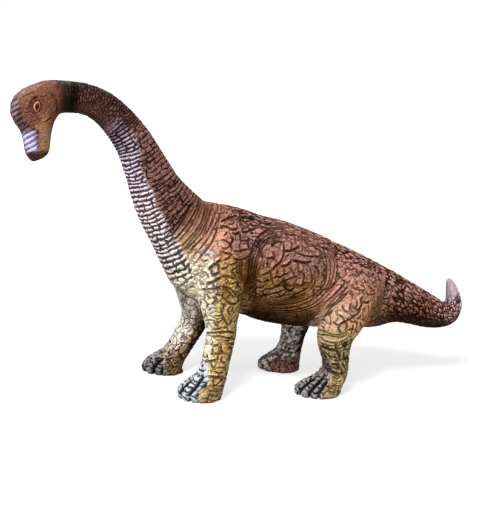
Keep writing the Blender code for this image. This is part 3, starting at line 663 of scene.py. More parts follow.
class Skin:
    """The skin's points in millimetres with the coordinates that its patterns and paints follow."""

    def __init__(self, mesh):
        self.mesh = mesh
        ends = read(mesh.edges, "vertices", width=2).reshape(-1, 2)
        co = smooth(mesh_points(mesh) / MM, ends, SMOOTH_ROUNDS)
        set_points(mesh, co * MM)
        co -= mesh_normals(mesh) * SEAM_OVERLAP
        co[:, 2] = np.where(co[:, 2] < SOLE_FLAT, 0, co[:, 2])
        set_points(mesh, co * MM)
        self.co = co
        self.normal = mesh_normals(mesh)
        self.side = np.where(co[:, 1] < 0, -1.0, 1.0)
        self.find_tube()
        self.find_legs()
        self.find_twins()
        self.swell()

    def find_tube(self):
        """Distance along the spine, angle from the back's midline, and the spine's radius there."""
        path = curve_through(SPINE, SPINE_STEP)
        line = path[:, :2]
        steps = np.linalg.norm(np.diff(line, axis=0), axis=1)
        along = np.concatenate(((0,), np.cumsum(steps)))
        way = np.gradient(line, axis=0)
        way /= np.linalg.norm(way, axis=1)[:, None]
        flat = self.co[:, (0, 2)]
        nearest = np.empty(len(flat), int)
        block = 20000
        for start in range(0, len(flat), block):
            gap = ((flat[start:start + block, None, :] - line[None]) ** 2).sum(2)
            nearest[start:start + block] = gap.argmin(1)
        offset = flat - line[nearest]
        ahead = (offset * way[nearest]).sum(1)
        rise = offset[:, 1] * way[nearest, 0] - offset[:, 0] * way[nearest, 1]
        self.s = along[nearest] + np.clip(ahead, -SPINE_STEP, SPINE_STEP)
        self.angle = np.arctan2(np.abs(self.co[:, 1]), rise)
        self.radius = path[nearest, 2]

        def along_at(x, z):
            return along[((path[:, 0] - x) ** 2 + (path[:, 1] - z) ** 2).argmin()]

        self.at = {name: along_at(*place) for name, place in SPINE_PLACES.items()}
        places = [along_at(x, z) for x, z, _ in SCALE_SHARES]
        shares = [share for _, _, share in SCALE_SHARES]
        self.share = np.interp(self.s, places, shares)
        path_share = np.interp(along, places, shares)
        grown = np.concatenate(((0,), np.cumsum(steps / (path_share[1:] + path_share[:-1]) * 2)))
        self.even_s = np.interp(self.s, along, grown)

    def find_legs(self):
        """How much each point belongs to a leg, and each leg's middle line."""
        x, y, z = self.co.T
        self.leg, self.leg_x, self.shift = np.zeros((3, len(self.co)))
        self.fore = x < FORE_HIND_BORDER_X
        raised = np.maximum(z - FORE_KNEE_Z, 0)
        for key, zone in (("fore", self.fore), ("hind", ~self.fore)):
            left, right = (leg_middle(name, z) for name in LEG_NAMES[key])
            own = np.where(self.side < 0, left, right) + raised * LEG_LEAN_SHARE[key]
            reach = LEG_REACH[key] + raised * LEG_WIDENING_SHARE
            across = (np.abs(y) - HALF_SPACING + raised * LEG_SPREAD_SHARE) / LEG_HALF_DEPTH
            gap = np.hypot((x - own) / reach, across)
            weight = (1 - ramp(*LEG_FADE_Z, z)) * (1 - ramp(0.85, 1.2, gap))
            self.leg[zone] = np.where(z < LEG_ONLY_Z, 1, weight)[zone]
            self.leg_x[zone] = own[zone]
            self.shift[zone] = (right - left)[zone]

    def find_twins(self):
        """Each point as it would lie on the left side, and where that falls in the photograph."""
        x, y, z = self.co.T
        share = np.maximum(self.leg, ramp(*LEG_SHIFT_FADE_Z, z))
        self.twin = np.stack((x - np.where(self.side > 0, self.shift * share, 0), -np.abs(y), z), 1)
        self.u, self.v = photo_pixels(self.twin)

    def span(self, name, s):
        """0 where a span of the spine begins, 1 where it is full."""
        first, before, last, after = SPANS[name]
        return ramp(self.at[first] + before, self.at[last] + after, s)

    def oval(self, *place):
        """Distance from a place in the photograph, 1 on the ellipse round it."""
        return np.hypot(*turned(self.u, self.v, *place))

    def swell(self):
        """Push out the broad forms of chest, shoulder, belly and thigh, and trim the outline."""
        height = np.zeros(len(self.co))
        for *place, rise in FORMS:
            height += rise * np.exp(-self.oval(*place) ** 2 * 1.2)
        height *= ramp(0.1, 0.5, self.normal_out())
        for *place, reach, rise, facing in SPACE_FORMS:
            gap = np.linalg.norm(self.co - np.array(place), axis=1) / reach
            height += rise * bell(gap) * ramp(0.0, 0.6, self.normal @ np.array(facing, float))
        self.co = self.co + self.normal * height[:, None]
        set_points(self.mesh, self.co * MM)
        self.normal = mesh_normals(self.mesh)
        self.find_twins()

    def normal_out(self):
        """1 where the skin faces the outer side, 0 between the legs."""
        return ramp(-0.5, 0.0, self.normal[:, 1] * self.side) * ramp(2, 8, self.co[:, 2])


def leg_middle(name, z):
    """The middle of a leg's casting along x, at the heights z."""
    points = mesh_points(bpy.data.objects[name].data) / MM
    levels = np.arange(FIRST_LEVEL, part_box(name)[1].z / MM - TOP_GAP, LEVEL_STEP)
    middle = []
    for level in levels:
        near = points[np.abs(points[:, 2] - level) < LEVEL_HALF, 0]
        middle.append((near.min() + near.max()) / 2)
    return np.interp(z, levels, middle)


class Folds:
    """Lines pressed into the skin. They are given in the photograph's pixels and cast onto its left side."""

    def __init__(self, skin):
        self.skin = skin
        starts = read(skin.mesh.polygons, "loop_start")
        polygons = np.split(read(skin.mesh.loops, "vertex_index"), starts[1:])
        self.tree = BVHTree.FromPolygons(skin.co.tolist(), [p.tolist() for p in polygons])
        self.samples, self.sizes = [], []

    def cast(self, pixels):
        """Places of the skin under photograph pixels, or None."""
        eye = Vector(camera_place())
        return [self.tree.ray_cast(eye, Vector(photo_ray(u, v)))[0] for u, v in pixels]

    def line(self, width, depth, points):
        """One fold through photograph pixels; it waxes and wanes, and runs out at both ends."""
        pixels = curve_through(points, LINE_STEP)
        place = np.linspace(0, 1, len(pixels))
        fade = np.minimum(1, np.minimum(place, 1 - place) * 6 + 0.15)
        start = len(self.samples)
        fade *= 0.88 + 0.25 * np.sin(np.arange(len(pixels)) * 0.23 + start) * np.sin(start * 1.7 + place * 9)
        for hit, share in zip(self.cast(pixels), fade):
            if hit is not None:
                self.samples.append(hit)
                self.sizes.append((width, depth * share))

    def family(self, count, width, depth, wander, seed, first, last):
        """Folds spread evenly from the first line to the last, which have as many points."""
        rng = np.random.default_rng(seed)
        first, last = np.asarray(first, float), np.asarray(last, float)
        for i in range(count):
            share = (i + rng.uniform(-0.25, 0.25)) / max(count - 1, 1)
            points = first + (last - first) * share + rng.normal(size=first.shape) * wander
            self.line(width * rng.uniform(0.8, 1.2), depth * rng.uniform(0.6, 1.15), points)

    def pressed(self):
        """For each point: how deep in a fold from 0 to 1, and its height in millimetres."""
        tree = tree_of(self.samples)
        found = [tree.find(p) for p in self.skin.twin.tolist()]
        width, depth = np.array(self.sizes)[[f[1] for f in found]].T
        gap = np.array([f[2] for f in found])
        groove = np.exp(-(gap / width / 0.92) ** 2.4)
        lip = bell((gap / width - 1.9) / 0.75)
        return groove * np.minimum(depth * 1.3, 1), depth * (0.30 * lip - 0.75 * groove)


def traced_folds(skin):
    """The folds that show in the photograph: how deep each point lies in one, and its height."""
    folds = Folds(skin)
    for *numbers, text in FOLD_FAMILIES:
        folds.family(*numbers, *pixel_lines(text))
    for width, depth, text in FOLD_LINES:
        for line in pixel_lines(text):
            folds.line(width, depth, line)
    toes = [hit for line in pixel_lines(TOE_LINES) for hit in folds.cast(curve_through(line, LINE_STEP))]
    tree = tree_of([hit for hit in toes if hit is not None])
    to_groove = np.array([tree.find(p)[2] for p in skin.twin.tolist()])
    skin.groove = skin.groove * (1 - skin.outer) + to_groove * skin.outer
    return folds.pressed()


class Brush:
    """Sprays paints onto the skin. Its places drift a little, as those of a hand-held spray do."""

    def __init__(self, skin):
        self.skin = skin
        drift = ripple(skin.co, 26, 21) * 0.5 + ripple(skin.co, 9, 22) * 0.25
        ragged = ripple(skin.co, 5, 24)
        self.u = skin.u + drift * 6 + ragged * 1.5
        self.v = skin.v + ripple(skin.co, 22, 23) * 3 + ragged * 1.5
        self.crisp_u = skin.u + ragged * 1.2
        self.q = np.cos(skin.angle) + drift * 0.12
        self.s = skin.s + drift * 6
        self.colours = np.tile(linear(PAINTS["brown"]), (len(self.u), 1))

    def spray(self, paint, mask):
        """Lay a paint over the skin where mask is above zero."""
        mask = np.clip(mask, 0, 1)[:, None]
        self.colours = self.colours * (1 - mask) + linear(PAINTS[paint]) * mask

    def spots(self, names, mask=1):
        for name in names.split():
            *place, soft, paint, share = SPOTS[name]
            gap = np.hypot(*turned(self.u, self.v, *place))
            self.spray(paint, (1 - ramp(1 - soft, 1 + soft, gap)) * mask * share)

    def span(self, name):
        return self.skin.span(name, self.s)

    def beyond(self, border):
        """Pixels behind a border of the photograph."""
        return self.crisp_u - edge(border, self.skin.v)

    def span_coats(self, table, zone):
        """Coats that lie on some spans of the spine."""
        for paint, share, names in table:
            mask = zone * share
            for name in names.split():
                mask = mask * self.span(name)
            self.spray(paint, mask)

    def round_coats(self, table, zone):
        """Coats that set in at an angle from the back's midline."""
        for paint, share, start, full in table:
            self.spray(paint, zone * ramp(start, full, self.q) * share)

    def border_coats(self, table, zone, across):
        """Coats that set in at a distance from a border and at a height of the photograph."""
        for paint, share, distances, heights in table:
            mask = zone * share
            if distances:
                mask = mask * ramp(*distances, across)
            if heights:
                mask = mask * ramp(*heights, self.v)
            self.spray(paint, mask)


def paint_trunk(brush, skin, body):
    """Mauve back, rust and bronze flanks, olive and black belly, whose darkness is partly painted shade."""
    trunk = brush.span("trunk")
    brush.round_coats(BACK_COAT, trunk)
    brush.round_coats(FLANK_COATS, trunk * body)
    brush.spots("belly_blot")
    brush.spots("behind_arm", body)


def paint_neck(brush, skin):
    """Dark behind the head, reddish lower down, with ribs that are pale in front."""
    brush.span_coats(NECK_COATS, 1)
    brush.span_coats(RIB_COATS, skin.rib)


def paint_shoulder(brush, skin, body):
    between_ribs = 1 - skin.rib
    brush.spots("shoulder", body * between_ribs)
    brush.spots("withers smudge mauve_plate back_smudge")
    brush.spots("chest_sand chest_folds", between_ribs)
    brush.spots("chest_blush chest arm_top")
    brush.spots("arm_ochre", skin.fore)


def paint_foreleg(brush, skin, body):
    """Pale in front and ochre behind, partly painted light and shade; the inner side, painted lighter in
    front, is dark behind with painted shade.
    """
    arm = skin.fore * ramp(*ARM_TOP_V, brush.v) * ramp(0, 0.3, skin.leg) * ramp(*ARM_BACK_U, brush.u)
    brush.border_coats(ARM_COATS, arm, brush.beyond(ARM_PALE_EDGE))
    brush.border_coats(INNER_ARM_COATS, skin.inside * skin.leg * skin.fore, brush.beyond(INNER_DARK_EDGE))
    brush.spots("armpit flank", body)


def paint_hind_leg(brush, skin):
    """Warm thigh, green shank with straw knee and heel, lead foot; the far leg's inner side is speckled. Heel
    and inner side are partly painted light.
    """
    hind, z = ~skin.fore, skin.twin[:, 2]
    thigh = hind * (z > THIGH_LEAST_Z)
    inner = skin.inside * skin.leg
    brush.spots("thigh", thigh)
    brush.spots("thigh_low", hind * ramp(0, 0.3, skin.leg))
    brush.spots("thigh_back", ramp(-2, 3, brush.beyond(THIGH_EDGE)) * thigh)
    brush.spray("moss", ramp(*SHANK_MOSS_Z, z) * hind)
    # The heel's straw is partly painted light.
    brush.spots("knee heel", hind)
    dark_front = ramp(*HIND_FRONT_V, brush.v) * ramp(2, -2, brush.beyond(HIND_DARK_EDGE))
    brush.spray("lead", dark_front * hind * (1 - inner) * 0.9)
    # The far leg's inner side gets near-white ash, partly painted light where it lies in shade.
    brush.spray("ash", inner * hind * 0.9)
    brush.spray("olive_black", inner * hind * ramp(0.1, 0.4, ripple(skin.co, 4.5, 25)) * 0.8)
    brush.spray("olive_black", inner * hind * ramp(*FAR_SHANK_BACK_U, skin.u) * 0.95)
    far_foot = ramp(-2, 2, skin.v - edge(INNER_SOLE_EDGE, skin.u))
    wall = ramp(0.3, 0.6, -skin.normal[:, 1] * skin.side)
    brush.spray("brown", wall * hind * far_foot * ramp(-2, 2, brush.crisp_u - HIND_INNER_TOES))


def paint_toes(brush, skin):
    # On the inner sides the hind toes get pewter, partly painted light.
    for (fore_paint, hind_paint, share), zone in zip(TOE_COATS, (skin.toe, skin.toe * skin.inside)):
        brush.spray(fore_paint, zone * skin.fore * share)
        brush.spray(hind_paint, zone * ~skin.fore * share)


def paint_tail(brush):
    brush.round_coats(TAIL_COATS, brush.span("tail"))
    brush.round_coats(CURL_COAT, brush.span("curl"))
    # Walnut in the valley between thigh and tail is painted shade, stronger lower down.
    brush.spots("tail_root", ramp(0.8, 0.2, brush.q))
    brush.spray("blush", brush.span("tip"))


def paint_head(brush, skin):
    """Crown, snout and its pale patch, the corner of the mouth, and the dark band behind the head."""
    band = skin.span("band", skin.s)
    brush.spray("soot", band)
    brush.spray("top_grey", band * ramp(0.6, 0.95, brush.q) * 0.25)
    brush.spray("chestnut", skin.brow)
    brush.spots("crown cheek", skin.head)
    brush.spray("maroon", skin.snout)
    brush.spray("blush", skin.snout * 0.06)
    brush.spots("snout_top", skin.snout)
    brush.spots("snout_patch", skin.head)
    chin = skin.head * ramp(-1, 1, skin.v - edge(MOUTH_EDGE, skin.u))
    brush.spray("maroon", chin)
    brush.spots("lip", chin)


def painted(skin):
    """Colour of each point, laid on as a factory would: a base coat, then sprays from soft to small; some
    sprays are painted light and painted shade.
    """
    brush = Brush(skin)
    body = 1 - skin.leg
    paint_trunk(brush, skin, body)
    paint_neck(brush, skin)
    paint_shoulder(brush, skin, body)
    paint_foreleg(brush, skin, body)
    paint_hind_leg(brush, skin)
    paint_toes(brush, skin)
    paint_tail(brush)
    paint_head(brush, skin)
    # A grey coat along the top of the back, neck and head
    brush.spray("top_grey", ramp(0.93, 0.995, brush.q) * (0.45 - 0.2 * brush.span("trunk")))
    return brush.colours


def weigh_body(skin, wave):
    """Where the scales of head, neck, back and tail lie, and the ribs of throat and snout."""
    s, v = skin.s, skin.v
    behind_cheek = skin.u - NAPE_U - (v - NAPE_V) * NAPE_LEAN + wave
    before_nape = s < skin.at["nape"]
    skin.head = ramp(3.5, -4, behind_cheek) * before_nape
    skin.brow = ramp(8, -4, behind_cheek) * before_nape
    skin.neck = skin.span("neck_start", s) * skin.span("neck_end", s)
    skin.fine = skin.span("fine", s)
    back = skin.span("back", s) * ramp(0.55, 0.8, np.cos(skin.angle) + wave * 0.08)
    skin.long = np.maximum(back, skin.span("long_tail", s))
    behind_throat = skin.u - edge(THROAT_EDGE, v) + wave * 1.5 + ripple(skin.co, 6, 32) * 0.8
    throat = ramp(2.5, -1.5, behind_throat) * skin.span("throat_start", s) * skin.span("throat_end", s)
    throat *= (1 - skin.leg) * ramp(*THROAT_END_V, v)
    skin.snout = skin.head * ramp(1.5, -1.5, skin.u - edge(SNOUT_EDGE, v))
    skin.snout *= ramp(*SNOUT_START_V, v) * ramp(*SNOUT_END_V, v)
    skin.rib = np.maximum(throat, skin.snout)


def weigh_legs(skin, wave):
    """Where the toes lie, the way that their ribs run, and which sides are inner ones."""
    own_x = skin.twin[:, 0] - np.where(skin.side < 0, skin.leg_x, skin.leg_x - skin.shift)
    aside = np.abs(skin.co[:, 1]) - HALF_SPACING
    foot_radius = np.hypot(own_x, aside)
    turn = np.degrees(np.arctan2(aside, -own_x))
    gaps = np.abs(turn[:, None] - np.array(TOE_GROOVES)[None])
    skin.groove = np.radians(gaps.min(1)) * foot_radius
    # The far legs' fronts count as inner sides, as the photograph shows them
    facing = skin.normal[:, 1] * skin.side
    inside = 1 - np.where(skin.side < 0, ramp(-0.5, 0.0, facing), ramp(0.0, 0.5, facing))
    skin.inside = inside
    skin.rib_way = foot_radius - 0.6 * skin.co[:, 2] + 0.85 * inside * np.searchsorted(TOE_GROOVES, turn)
    hind_edge = edge(HIND_DARK_EDGE, skin.v)
    dark_front = ~skin.fore * ramp(*HIND_FRONT_SCALES_V, skin.v) * ramp(2, -2, skin.u - hind_edge)
    skin.plain_leg = skin.leg * (1 - np.maximum(inside, dark_front))
    toe_edge = np.where(skin.fore, edge(FORE_TOE_EDGE, skin.v), hind_edge)
    inner_edge = np.where(skin.fore, FORE_INNER_TOES, HIND_INNER_TOES)
    toe_edge = toe_edge * (1 - inside) + inner_edge * inside
    toe_top = np.where(skin.fore, FORE_TOE_TOP, HIND_TOE_TOP) + INNER_TOE_DROP * inside
    skin.toe = ramp(-3, 3, skin.v - toe_top) * ramp(1.5, -1.5, skin.u - toe_edge + wave)
    skin.toe *= skin.co[:, 2] < TOE_MOST_Z


def eye_distances(skin):
    """Across and down the eye, and the distance from the middle of its almond."""
    across, down = turned(skin.u, skin.v, *EYE)
    across = np.where(skin.head > 0.5, across, NO_EYE)
    return across, down, np.abs(across) + down ** 2


def calmed(skin):
    """Long folds stand in for plates at the root of the neck, behind the foreleg and round the belly."""
    calm = UNDERSIDE_CALM * ramp(-0.2, -0.6, np.cos(skin.angle)) * (1 - skin.leg)
    for *place, share in CALM_SPOTS:
        calm = np.maximum(calm, share * ramp(1.15, 0.6, skin.oval(*place)))
    return calm * (1 - 0.9 * skin.rib) * (1 - skin.toe) * (1 - 0.5 * (1 - skin.outer))


def store(mesh, name, *columns):
    layer = mesh.attributes.new(name, "FLOAT_VECTOR", "POINT")
    layer.data.foreach_set("vector", np.stack(columns, 1).astype(np.float32).ravel())


def sculpt(skin):
    """Work out folds, toes and the eye, and store what the patterns and paints need on the mesh."""
    wave = ripple(skin.co, 18, 31)
    skin.outer = skin.normal_out()
    weigh_body(skin, wave)
    weigh_legs(skin, wave)
    pressed, height = traced_folds(skin)
    pressed = np.maximum(pressed, 0.9 * bell(skin.groove / 0.9) * skin.toe)
    height += skin.toe * (0.6 * ramp(0, 3.5, skin.groove) - 1.2 * bell(skin.groove / 1.2))
    across, down, almond = eye_distances(skin)
    height += 0.9 * ramp(1.1, 0.0, almond) - 0.6 * bell((almond - 1.5) / 0.35)
    pressed = np.maximum(pressed, 0.8 * bell((almond - 1.35) / 0.25))
    girth = skin.radius / skin.share
    on_snout = skin.snout > 0.02
    ribs_along = np.where(on_snout, (skin.v + SNOUT_SLANT * skin.u) * SNOUT_ROWS, skin.even_s)
    snout_below = skin.u * SNOUT_LENGTHS[0] + skin.v * SNOUT_LENGTHS[1]
    ribs_below = np.where(on_snout, snout_below, girth * (np.pi - skin.angle))
    store(skin.mesh, "rest", *skin.co.T)
    store(skin.mesh, "tube", ribs_along, girth * skin.angle * skin.side, ribs_below)
    store(skin.mesh, "part", skin.neck, skin.long, skin.plain_leg)
    store(skin.mesh, "zone", skin.rib, skin.toe, skin.head)
    store(skin.mesh, "fold", pressed, calmed(skin), height)
    store(skin.mesh, "foot", skin.rib_way, skin.groove, skin.fine)
    store(skin.mesh, "eye", across, down, almond)
    layer = skin.mesh.attributes.new("paint", "FLOAT_COLOR", "POINT")
    colours = np.hstack((painted(skin), np.ones((len(skin.co), 1))))
    layer.data.foreach_set("color", colours.astype(np.float32).ravel())


class Wire:
    """An output of a node. What is worked out with wires becomes nodes of their tree."""

    def __init__(self, graph, socket):
        self.graph, self.socket = graph, socket

    def __add__(self, other):
        return self.graph.math("ADD", self, other)

    def __sub__(self, other):
        return self.graph.math("SUBTRACT", self, other)

    def __rsub__(self, other):
        return self.graph.math("SUBTRACT", other, self)

    def __mul__(self, other):
        return self.graph.math("MULTIPLY", self, other)

    def __truediv__(self, other):
        return self.graph.math("DIVIDE", self, other)

    __radd__ = __add__
    __rmul__ = __mul__


class Graph:
    """Adds nodes to a shader tree or a geometry tree alike."""

    def __init__(self, tree):
        self.tree = tree

    def put(self, socket, value):
        if isinstance(value, Wire):
            self.tree.links.new(value.socket, socket)
        else:
            socket.default_value = value

    def node(self, kind, inputs, **settings):
        item = self.tree.nodes.new(kind)
        for key, value in settings.items():
            setattr(item, key, value)
        for key, value in inputs.items():
            self.put(item.inputs[key], value)
        return item

    def wire(self, kind, inputs, output=0, **settings):
        return Wire(self, self.node(kind, inputs, **settings).outputs[output])

    def math(self, operation, a, b=0.0):
        return self.wire("ShaderNodeMath", {0: a, 1: b}, operation=operation)

    def least(self, a, b):
        return self.math("MINIMUM", a, b)

    def most(self, a, b):
        return self.math("MAXIMUM", a, b)

    def vector(self, operation, a, b=(0, 0, 0)):
        return self.wire("ShaderNodeVectorMath", {0: a, 1: b}, operation=operation)

    def scaled(self, vector, factor):
        return self.wire("ShaderNodeVectorMath", {0: vector, "Scale": factor}, operation="SCALE")

    def length(self, vector):
        return self.wire("ShaderNodeVectorMath", {0: vector}, "Value", operation="LENGTH")

    def split(self, vector):
        outputs = self.node("ShaderNodeSeparateXYZ", {0: vector}).outputs
        return [Wire(self, socket) for socket in outputs]

    def joined(self, x, y, z=0.0):
        return self.wire("ShaderNodeCombineXYZ", {0: x, 1: y, 2: z})

    def step(self, value, low, high, start=0.0, end=1.0):
        inputs = {0: value, 1: low, 2: high, 3: start, 4: end}
        return self.wire("ShaderNodeMapRange", inputs, interpolation_type="SMOOTHSTEP")

    def mix(self, factor, a, b):
        return self.wire("ShaderNodeMix", {0: factor, 2: a, 3: b}, data_type="FLOAT")

    def mix_colour(self, factor, a, b, blend="MIX"):
        return self.wire("ShaderNodeMix", {0: factor, 6: a, 7: b}, 2, data_type="RGBA", blend_type=blend)

    def noise(self, vector, size, detail=2.0, output=0):
        inputs = {"Vector": vector, "Scale": 1 / size, "Detail": detail}
        return self.wire("ShaderNodeTexNoise", inputs, output)

    def chance(self, dimensions, **inputs):
        """White noise for a number W or for a Vector."""
        return self.wire("ShaderNodeTexWhiteNoise", inputs, noise_dimensions=dimensions)

    def attribute(self, name, output="Vector"):
        return self.wire("ShaderNodeAttribute", {}, output, attribute_name=name)

    def wander(self, vector, size, reach, detail=2.0):
        """Noise as an offset of up to about reach each way."""
        centred = self.vector("SUBTRACT", self.noise(vector, size, detail, 1), (0.5, 0.5, 0.5))
        return self.scaled(centred, 2 * reach)

    def cells(self, vector, size, randomness=1.0):
        """Distance to the nearest cell edge, in millimetres, and a value for each cell."""
        inputs = {"Vector": vector, "Scale": 1 / size, "Randomness": randomness}
        gap = self.wire("ShaderNodeTexVoronoi", inputs, "Distance", feature="DISTANCE_TO_EDGE")
        cell = self.wire("ShaderNodeTexVoronoi", inputs, "Color", feature="F1")
        return gap * size, self.split(cell)[0]

    def row_gap(self, rows):
        """How far a place lies from the middle of its row, as a share of the row's width."""
        return self.math("ABSOLUTE", self.math("FRACT", rows) + -0.5)

    def bricks(self, along, across, size, seed, lost, lost_ends, stagger=1.0):
        """Distance to the nearest joint of a loose bond, in millimetres, and a value for each brick.

        Where lost is above zero the long joints fade, and where lost_ends is the short ones do.
        """
        length, width = size
        rows = across / width
        row = self.math("FLOOR", rows)
        places = along / length + self.chance("1D", W=row + seed) * stagger
        to_end = (0.5 - self.row_gap(places)) * length + lost_ends
        to_side = (0.5 - self.row_gap(rows)) * width + lost
        tone = self.chance("3D", Vector=self.joined(self.math("FLOOR", places), row, seed))
        return self.least(to_end, to_side), tone


Relief = namedtuple("Relief", "crack near height tone")
Kind = namedtuple("Kind", "weight gap tone depth")


class Moulding:
    """What the patterns of the scales share: places on the skin, crooked ones, and where joints are lost."""

    def __init__(self, g, rest, tube, part, zone, fold, foot):
        self.g, self.rest = g, rest
        self.s, self.round_way, self.below = g.split(tube)
        self.neck, self.long, self.leg = g.split(part)
        self.rib, self.toe, self.head = g.split(zone)
        self.pressed, self.calm, self.fold_height = g.split(fold)
        self.rib_way, self.groove, self.fine = g.split(foot)
        crook = g.vector("ADD", g.wander(rest, CROOK, 3.6), g.wander(rest, FINE_CROOK, 1.3, 3.0))
        self.warped = g.vector("ADD", rest, crook)
        self.crook_x, self.crook_y, self.crook_z = g.split(crook)
        self.wear = g.noise(rest, WEAR)
        self.taper = g.step(self.wear, *TAPER)
        self.lost = g.step(g.noise(rest, LOSS), *JOINTS_LOST)
        self.lost_ends = g.step(self.wear, *ENDS_LOST)

    def plates(self):
        """Plates of the body and legs, whose cracks taper and give way to slanting strokes."""
        g = self.g
        plates, tone = g.cells(g.vector("MULTIPLY", self.warped, (0.9, 1.0, 1.1)), PLATE, 0.85)
        x, y, z = g.split(self.warped)
        strokes, _ = g.cells(g.joined(x * 0.40 + z * 0.30, y, z * 0.80 + x * -0.60), STROKE)
        strokes = strokes + (g.step(self.wear, *STROKES_LOST) + self.leg * 0.6)
        small, _ = g.cells(self.warped, SMALL_PLATE)
        small = small + (g.step(g.noise(self.rest, CRACKING), *SMALL_LOST) + self.leg * 1.2)
        gap = g.least(g.least(plates + self.taper, strokes), small)
        return gap + 0.15, tone

    def long_scales(self):
        """Long scales of the back and the tail."""
        along = (self.s + self.crook_x * 0.8) * 0.5
        gap, tone = self.g.cells(self.g.joined(along, self.round_way + self.crook_y * 0.8), LONG_SCALE)
        return Kind(self.long, gap + self.taper * 0.4, tone, LONG_DEPTH)

    def neck_scales(self):
        """Bricks of the lower neck and finer ones of the upper neck, both over a fine hatch."""
        g, lost, lost_ends = self.g, self.lost, self.lost_ends
        way = self.round_way + self.crook_y * 0.7
        along = self.s + self.crook_x * 0.55
        hatch, _ = g.cells(g.joined(along * 1.2, way * 0.5), HATCH)
        gap, tone = g.bricks(way, along, NECK_BRICK, 3.0, lost * 0.35, lost_ends * 0.3)
        fine_gap, fine_tone = g.bricks(way, along, FINE_BRICK, 17.0, lost * 0.5, lost_ends * 0.5)
        yield Kind(self.neck, g.least(gap, hatch + 0.70), tone, NECK_DEPTH)
        yield Kind(self.fine, g.least(fine_gap, hatch + 0.35), fine_tone, FINE_DEPTH)

    def wrinkles(self):
        gap, tone = self.g.cells(self.g.vector("MULTIPLY", self.warped, (1.0, 1.0, 1.5)), WRINKLE)
        return Kind(self.head, gap + 0.25, tone, WRINKLE_DEPTH)

    def ribs(self):
        """Ribs of the throat and the snout."""
        sway = self.head * -0.6 + 1.0
        along = self.s + self.crook_z * 0.5 * sway
        across = self.below + self.crook_x * 1.1 * sway
        lost_ends = self.g.most(self.head, self.lost_ends) * 0.5
        gap, tone = self.g.bricks(across, along, RIB_BRICK, 11.0, self.lost * 0.3, lost_ends, 0.5)
        return Kind(self.rib, gap + (self.head * 0.25 + -0.30), tone, sway)

    def toe_ribs(self):
        g = self.g
        rows = (self.rib_way + self.crook_x * 1.0) / TOE_RIB
        gap = (0.5 - g.row_gap(rows)) * TOE_RIB + self.lost * 0.4
        tone = g.chance("1D", W=g.math("FLOOR", rows))
        return Kind(self.toe, g.least(gap, self.groove + -0.4), tone, TOE_DEPTH)

    def relief(self):
        """How deep in a crack, how near to one, height in millimetres, and a tone per scale."""
        g, head, rib = self.g, self.head, self.rib
        gap, tone = self.plates()
        depth = 1.0
        for kind in (self.long_scales(), *self.neck_scales(), self.wrinkles(), self.ribs(), self.toe_ribs()):
            gap = g.mix(kind.weight, gap, kind.gap)
            tone = g.mix(kind.weight, tone, kind.tone)
            depth = g.mix(kind.weight, depth, kind.depth)
        strength = self.calm * -0.8 + 1.0
        crack = g.step(gap, *CRACK_REACH, 1.0, 0.0) * strength
        shown = g.most(head, self.fine) * -0.75 + 1.0
        near = g.step(gap, *EDGE_REACH, 1.0, 0.0) * (strength * shown)
        lip = g.step(self.fold_height, *FOLD_LIP) * (1.0 - g.most(head, self.toe))
        creased = g.noise(self.rest, CREASE, 3.0) * CREASE_HEIGHT + self.fold_height
        domed = g.step(gap, *DOME_REACH) * DOME_HEIGHT - crack * CRACK_DEPTH
        height = depth * strength * domed + creased
        stain = g.step(gap, *WASH_REACH, 1.0, 0.0) * strength
        stain = stain * (head * (1.0 - rib) * -0.65 + 1.0) * (head * rib * -0.35 + 1.0)
        return Relief(g.most(stain, self.pressed), g.most(near, lip), height, tone)


def mould(skin_object):
    """Raise the scales on the skin's own mesh with a geometry tree, and keep the result."""
    tree = bpy.data.node_groups.new("mould", "GeometryNodeTree")
    for way in ("INPUT", "OUTPUT"):
        tree.interface.new_socket("Geometry", in_out=way, socket_type="NodeSocketGeometry")
    g = Graph(tree)
    reader = "GeometryNodeInputNamedAttribute"
    vectors = [g.wire(reader, {0: name}, data_type="FLOAT_VECTOR") for name in ATTRIBUTES]
    shape = Moulding(g, *vectors).relief()
    offset = g.scaled(g.wire("GeometryNodeInputNormal", {}), shape.height * MM)
    start = g.wire("NodeGroupInput", {})
    moved = g.wire("GeometryNodeSetPosition", {"Geometry": start, "Offset": offset})
    g.node("NodeGroupOutput", {0: moved})
    step = skin_object.modifiers.new("mould", "NODES")
    step.node_group = tree
    skin_object.data = applied(skin_object, "skin")
    skin_object.modifiers.clear()


def shader_of(material):
    """The material's tree and its principled shader."""
    material.use_nodes = True
    return Graph(material.node_tree), material.node_tree.nodes["Principled BSDF"].inputs


def vinyl(name, roughness, gloss):
    """Painted soft vinyl: sprayed colour, dark wash in the cracks, paler edges on the scales, partly wear of
    the paint and partly painted highlight.
    """
    material = bpy.data.materials.new(name)
    g, shader = shader_of(material)
    shader["Metallic"].default_value = 0
    shader["IOR"].default_value = VINYL_IOR
    shader["Specular IOR Level"].default_value = gloss
    moulding = Moulding(g, *[g.attribute(name) for name in ATTRIBUTES])
    shape = moulding.relief()
    paint = g.attribute("paint", "Color")
    speckle = g.noise(moulding.rest, 1.6, 4.0)
    cloud = g.noise(moulding.rest, 20, 3.0)
    tone = shape.tone * 0.22 + (speckle * 0.35 + cloud * 0.30) + 0.64
    colour = g.mix_colour(1.0, paint, g.joined(tone, tone, tone), "MULTIPLY")
    colour = wear_and_highlight_edges(g, moulding, shape, paint, speckle, colour)
    wash = g.mix_colour(moulding.rib, g.mix_colour(moulding.toe, WASH, TOE_WASH), RIB_WASH)
    colour = g.mix_colour(shape.crack * WASH_SHARE, colour, g.mix_colour(1.0, paint, wash, "MULTIPLY"))
    g.put(shader["Base Color"], eye_painted(g, colour))
    g.put(shader["Roughness"], speckle * 0.16 + shape.crack * 0.2 + roughness)
    inputs = {"Height": speckle * 0.12 + shape.height, "Strength": 1.0, "Distance": BUMP_REACH * MM}
    g.put(shader["Normal"], g.wire("ShaderNodeBump", inputs))
    return material


